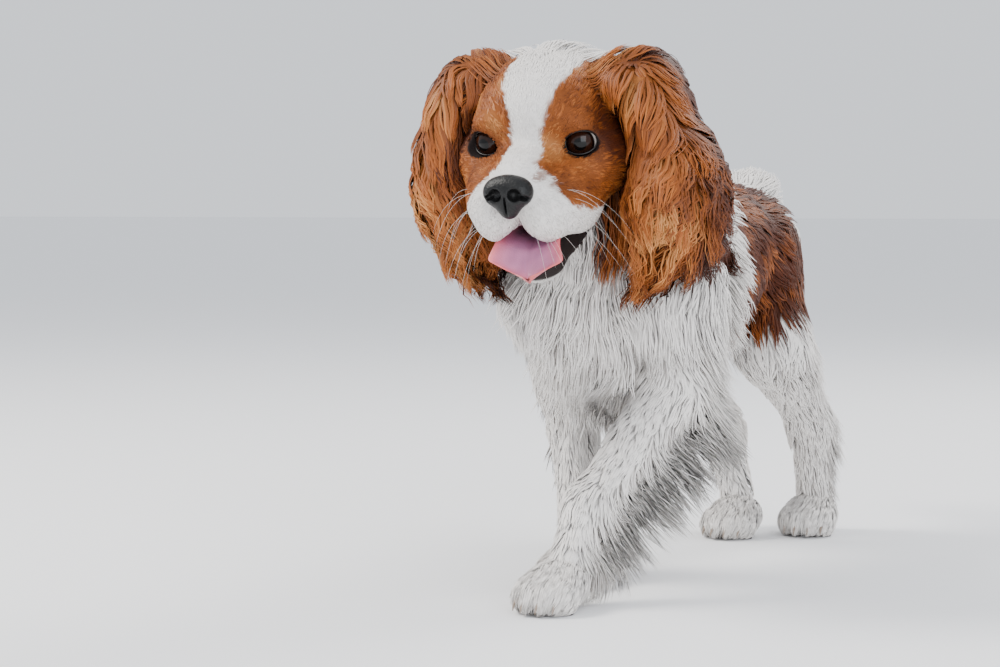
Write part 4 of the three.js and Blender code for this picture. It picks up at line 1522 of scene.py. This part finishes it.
def whisker_lines(dice):
    """Roots, headings, lengths and bends of the whiskers, in three rows on each side of the muzzle."""
    rows, columns = np.meshgrid(np.arange(3), np.arange(5), indexing="ij")
    rows, columns = rows.ravel(), columns.ravel()
    one = np.ones(len(rows))
    roots, headings, bends, lengths = [], [], [], []
    for side in (1, -1):
        place = np.stack([side * (11 + 4 * columns), -44 + 6.5 * columns, -27 - 5.5 * rows], -1)
        roots.append(place + dice.normal(size=place.shape) * 0.7)
        aim = np.stack([side * (0.8 + 0.1 * columns), -0.5 + 0.15 * columns, -0.15 - 0.25 * rows], -1)
        headings.append(unit(aim + dice.normal(size=aim.shape) * 0.12))
        lengths.append(dice.uniform(20, 42, len(rows)))
        bends.append(np.stack([-0.15 * side * one, 0.3 * one, -0.75 * one], -1) * lengths[-1][:, None])
    return tuple(np.concatenate(rows) for rows in (roots, headings, lengths, bends))


class SPANIEL_OT_whiskers(bpy.types.Operator):
    """Make the whiskers of the muzzle and the lashes of the eyes"""

    bl_idname = "spaniel.whiskers"
    bl_label = "Whiskers"

    def execute(self, context):
        dice = np.random.default_rng(600)
        roots, headings, lengths, bends = whisker_lines(dice)
        grid, _ = head_skin()
        place = from_head(roots)
        for _ in range(4):
            place = place - grid.outward(place) * (grid.at(place) + 0.5)[:, None]
        whiskers = bristles(place, headings @ HEAD_TURN.T, lengths, 0.1, bends @ HEAD_TURN.T)
        material, tree, shader = new_material("whiskers", 0.4, Specular_IOR_Level=0.4)
        mottled(tree, shader, noise(tree, 120), (0.55, 0.5, 0.45), (0.9, 0.87, 0.83))
        finish_piece(make_mesh("whiskers", *whiskers), material, "coat")
        lashes = []
        for side in (1, -1):
            path = almond(side, np.radians(np.linspace(25, 155, 22)), 0.9)
            aim = unit(unit(path) + [0.25 * side, 0, 0.35])
            size = dice.uniform(3.2, 5.0, len(path))
            start = from_head(path + [side * EYE_OUT, EYE_BACK, 0])
            curl = np.array([0, 0, 0.35]) * size[:, None]
            lashes.append(bristles(start, aim @ HEAD_TURN.T, size, 0.12, curl, 4))
        material, tree, shader = new_material("lashes", 0.5)
        mottled(tree, shader, noise(tree, 500), (0.02, 0.012, 0.01), (0.05, 0.025, 0.015))
        finish_piece(make_mesh("lashes", *together(*lashes)), material, "coat")
        return {"FINISHED"}


def claw_shape(out, ahead):
    """A claw along the curve start (1 - t)^2 + 2 bend t (1 - t) + stop t^2, narrowing as 1 - 0.85 t^1.5."""
    t = np.linspace(0, 1, 10)[:, None]
    keys = [[out, ahead - 9, -4], [out, ahead - 16, -4.5], [out, ahead - 17, -10.5]]
    start, bend, stop = np.array(keys)
    path = start * (1 - t) ** 2 + 2 * bend * t * (1 - t) + stop * t**2
    heading = unit(np.gradient(path, axis=0))
    side = np.tile([1.0, 0, 0], (10, 1))
    over = np.cross(side, heading)
    size = 1.7 * (1 - t[:, 0] ** 1.5 * 0.85)
    return swept(path, side, size * 0.8, over, size, 8)


class SPANIEL_OT_claws(bpy.types.Operator):
    """Make the claws and the pads of the paws"""

    bl_idname = "spaniel.claws"
    bl_label = "Claws and pads"

    def execute(self, context):
        claws, pads = [], []
        for (x, y, z), turn in PAWS.values():
            axes = turned(0, 0, turn)
            for out, ahead in TOES:
                points, tris = claw_shape(out, ahead)
                claws.append((points @ axes.T + [x, y, z], tris))
                pads.append(pad_shape((out, ahead, -12.4), (4.6, 6, 1.1), axes, (x, y, z)))
            pads.append(pad_shape((0, 3, -12.4), (10, 8, 1.1), axes, (x, y, z)))
        claw_material, tree, shader = new_material("claw", 0.35, Specular_IOR_Level=0.5)
        mottled(tree, shader, noise(tree, 400, 2.0, (1, 0.2, 1)), (0.16, 0.12, 0.09), (0.38, 0.3, 0.24))
        finish_piece(make_mesh("claws", *together(*claws)), claw_material, "nose")
        pad_material, tree, shader = new_material("pad", 0.75, Base_Color=(0.03, 0.024, 0.022, 1))
        bump(tree, shader, noise(tree, 900), 0.6, 0.0005)
        finish_piece(make_mesh("pads", *together(*pads)), pad_material, "nose")
        return {"FINISHED"}


def pad_shape(centre, radii, axes, at):
    """An ellipsoid in rings, its radii times the sine and cosine of the polar angle, cut at the floor."""
    polar = np.linspace(0, np.pi, 9)[1:-1, None]
    around = 2 * np.pi * np.arange(16)[None] / 16
    ring = np.stack(
        [
            radii[0] * np.sin(polar) * np.cos(around),
            radii[1] * np.sin(polar) * np.sin(around),
            radii[2] * np.cos(polar) * np.ones_like(around),
        ],
        -1,
    )
    points, tris = tube(ring)
    points = (points + centre) @ axes.T + at
    points[:, 2] = np.maximum(points[:, 2], 0.05)
    return points, tris


# Stage

FLOOR_HALF = 40  # metres, so that the floor's edge lies near the horizon
CAMERA_STAND = (540.25, -1509.46, 244.0)
CAMERA_LENS = 85.0
CAMERA_FACING, CAMERA_TILT = 24.0, 3.115  # degrees round from the dog's axis, and down
LAMPS_AIM = (0, -0.12, 0.18)
# Name, place in metres, power in watts, size and colour of each soft lamp
LAMPS = (
    ("key", (-1.5, -0.7, 2.0), 62, 0.9, (1.0, 0.96, 0.9)),
    ("fill", (1.4, -1.6, 0.8), 32, 1.4, (0.93, 0.96, 1.0)),
    ("back", (0.9, 1.5, 1.5), 26, 0.9, (1.0, 0.98, 0.95)),
)


class SPANIEL_OT_stage(bpy.types.Operator):
    """Make the floor, the soft studio light and the camera at the photo's angle"""

    bl_idname = "spaniel.stage"
    bl_label = "Stage"

    def execute(self, context):
        floor_mesh = bpy.data.meshes.new("floor")
        corners = [(x * FLOOR_HALF, y * FLOOR_HALF, 0) for x, y in ((-1, -1), (1, -1), (1, 1), (-1, 1))]
        floor_mesh.from_pydata(corners, [], [(0, 1, 2, 3)])
        floor = bpy.data.objects.new("floor", floor_mesh)
        context.collection.objects.link(floor)
        material, _, _ = new_material("floor", 0.9, Base_Color=(0.9, 0.9, 0.91, 1))
        floor_mesh.materials.append(material)
        world = bpy.data.worlds.new("studio")
        context.scene.world = world
        world.use_nodes = True
        background = world.node_tree.nodes["Background"]
        background.inputs["Color"].default_value = (0.9, 0.94, 1.0, 1)
        background.inputs["Strength"].default_value = 1.15
        for lamp in LAMPS:
            add_lamp(*lamp)
        add_camera()
        return {"FINISHED"}


def add_lamp(name, at, power, size, colour):
    lamp = bpy.data.lights.new(name, "AREA")
    lamp.energy, lamp.size, lamp.color = power, size, colour
    piece = bpy.data.objects.new(name, lamp)
    piece.location = at
    aim = Vector(LAMPS_AIM) - Vector(at)
    piece.rotation_euler = aim.to_track_quat("-Z", "Y").to_euler()
    bpy.context.collection.objects.link(piece)


def add_camera():
    data = bpy.data.cameras.new("camera")
    data.sensor_width = 36
    data.lens = CAMERA_LENS
    data.clip_start = 0.05
    camera = bpy.data.objects.new("camera", data)
    camera.location = metres(CAMERA_STAND)
    camera.rotation_euler = np.radians([90 - CAMERA_TILT, 0, CAMERA_FACING])
    bpy.context.collection.objects.link(camera)
    bpy.context.scene.camera = camera


class SPANIEL_PT_panel(bpy.types.Panel):
    """The spaniel's settings and the operators that build it"""

    bl_label = "Spaniel"
    bl_idname = "SPANIEL_PT_panel"
    bl_space_type = "VIEW_3D"
    bl_region_type = "UI"
    bl_category = "Spaniel"

    def draw(self, context):
        for name in SpanielLook.__annotations__:
            self.layout.prop(context.scene.spaniel, name)
        for operator in OPERATORS:
            self.layout.operator(operator.bl_idname)


OPERATORS = (
    SPANIEL_OT_skin,
    SPANIEL_OT_face_coat,
    SPANIEL_OT_ear_coat,
    SPANIEL_OT_body_coat,
    SPANIEL_OT_leg_coat,
    SPANIEL_OT_tail_coat,
    SPANIEL_OT_eyes,
    SPANIEL_OT_nose,
    SPANIEL_OT_mouth,
    SPANIEL_OT_whiskers,
    SPANIEL_OT_claws,
    SPANIEL_OT_stage,
)
CLASSES = (SpanielLook, *OPERATORS, SPANIEL_PT_panel)


def register():
    for cls in CLASSES:
        bpy.utils.register_class(cls)
    bpy.types.Scene.spaniel = bpy.props.PointerProperty(type=SpanielLook)


def unregister():
    del bpy.types.Scene.spaniel
    for cls in reversed(CLASSES):
        bpy.utils.unregister_class(cls)


def main():
    register()
    for operator in OPERATORS:
        group, name = operator.bl_idname.split(".")
        getattr(getattr(bpy.ops, group), name)()


if __name__ == "__main__":
    main()
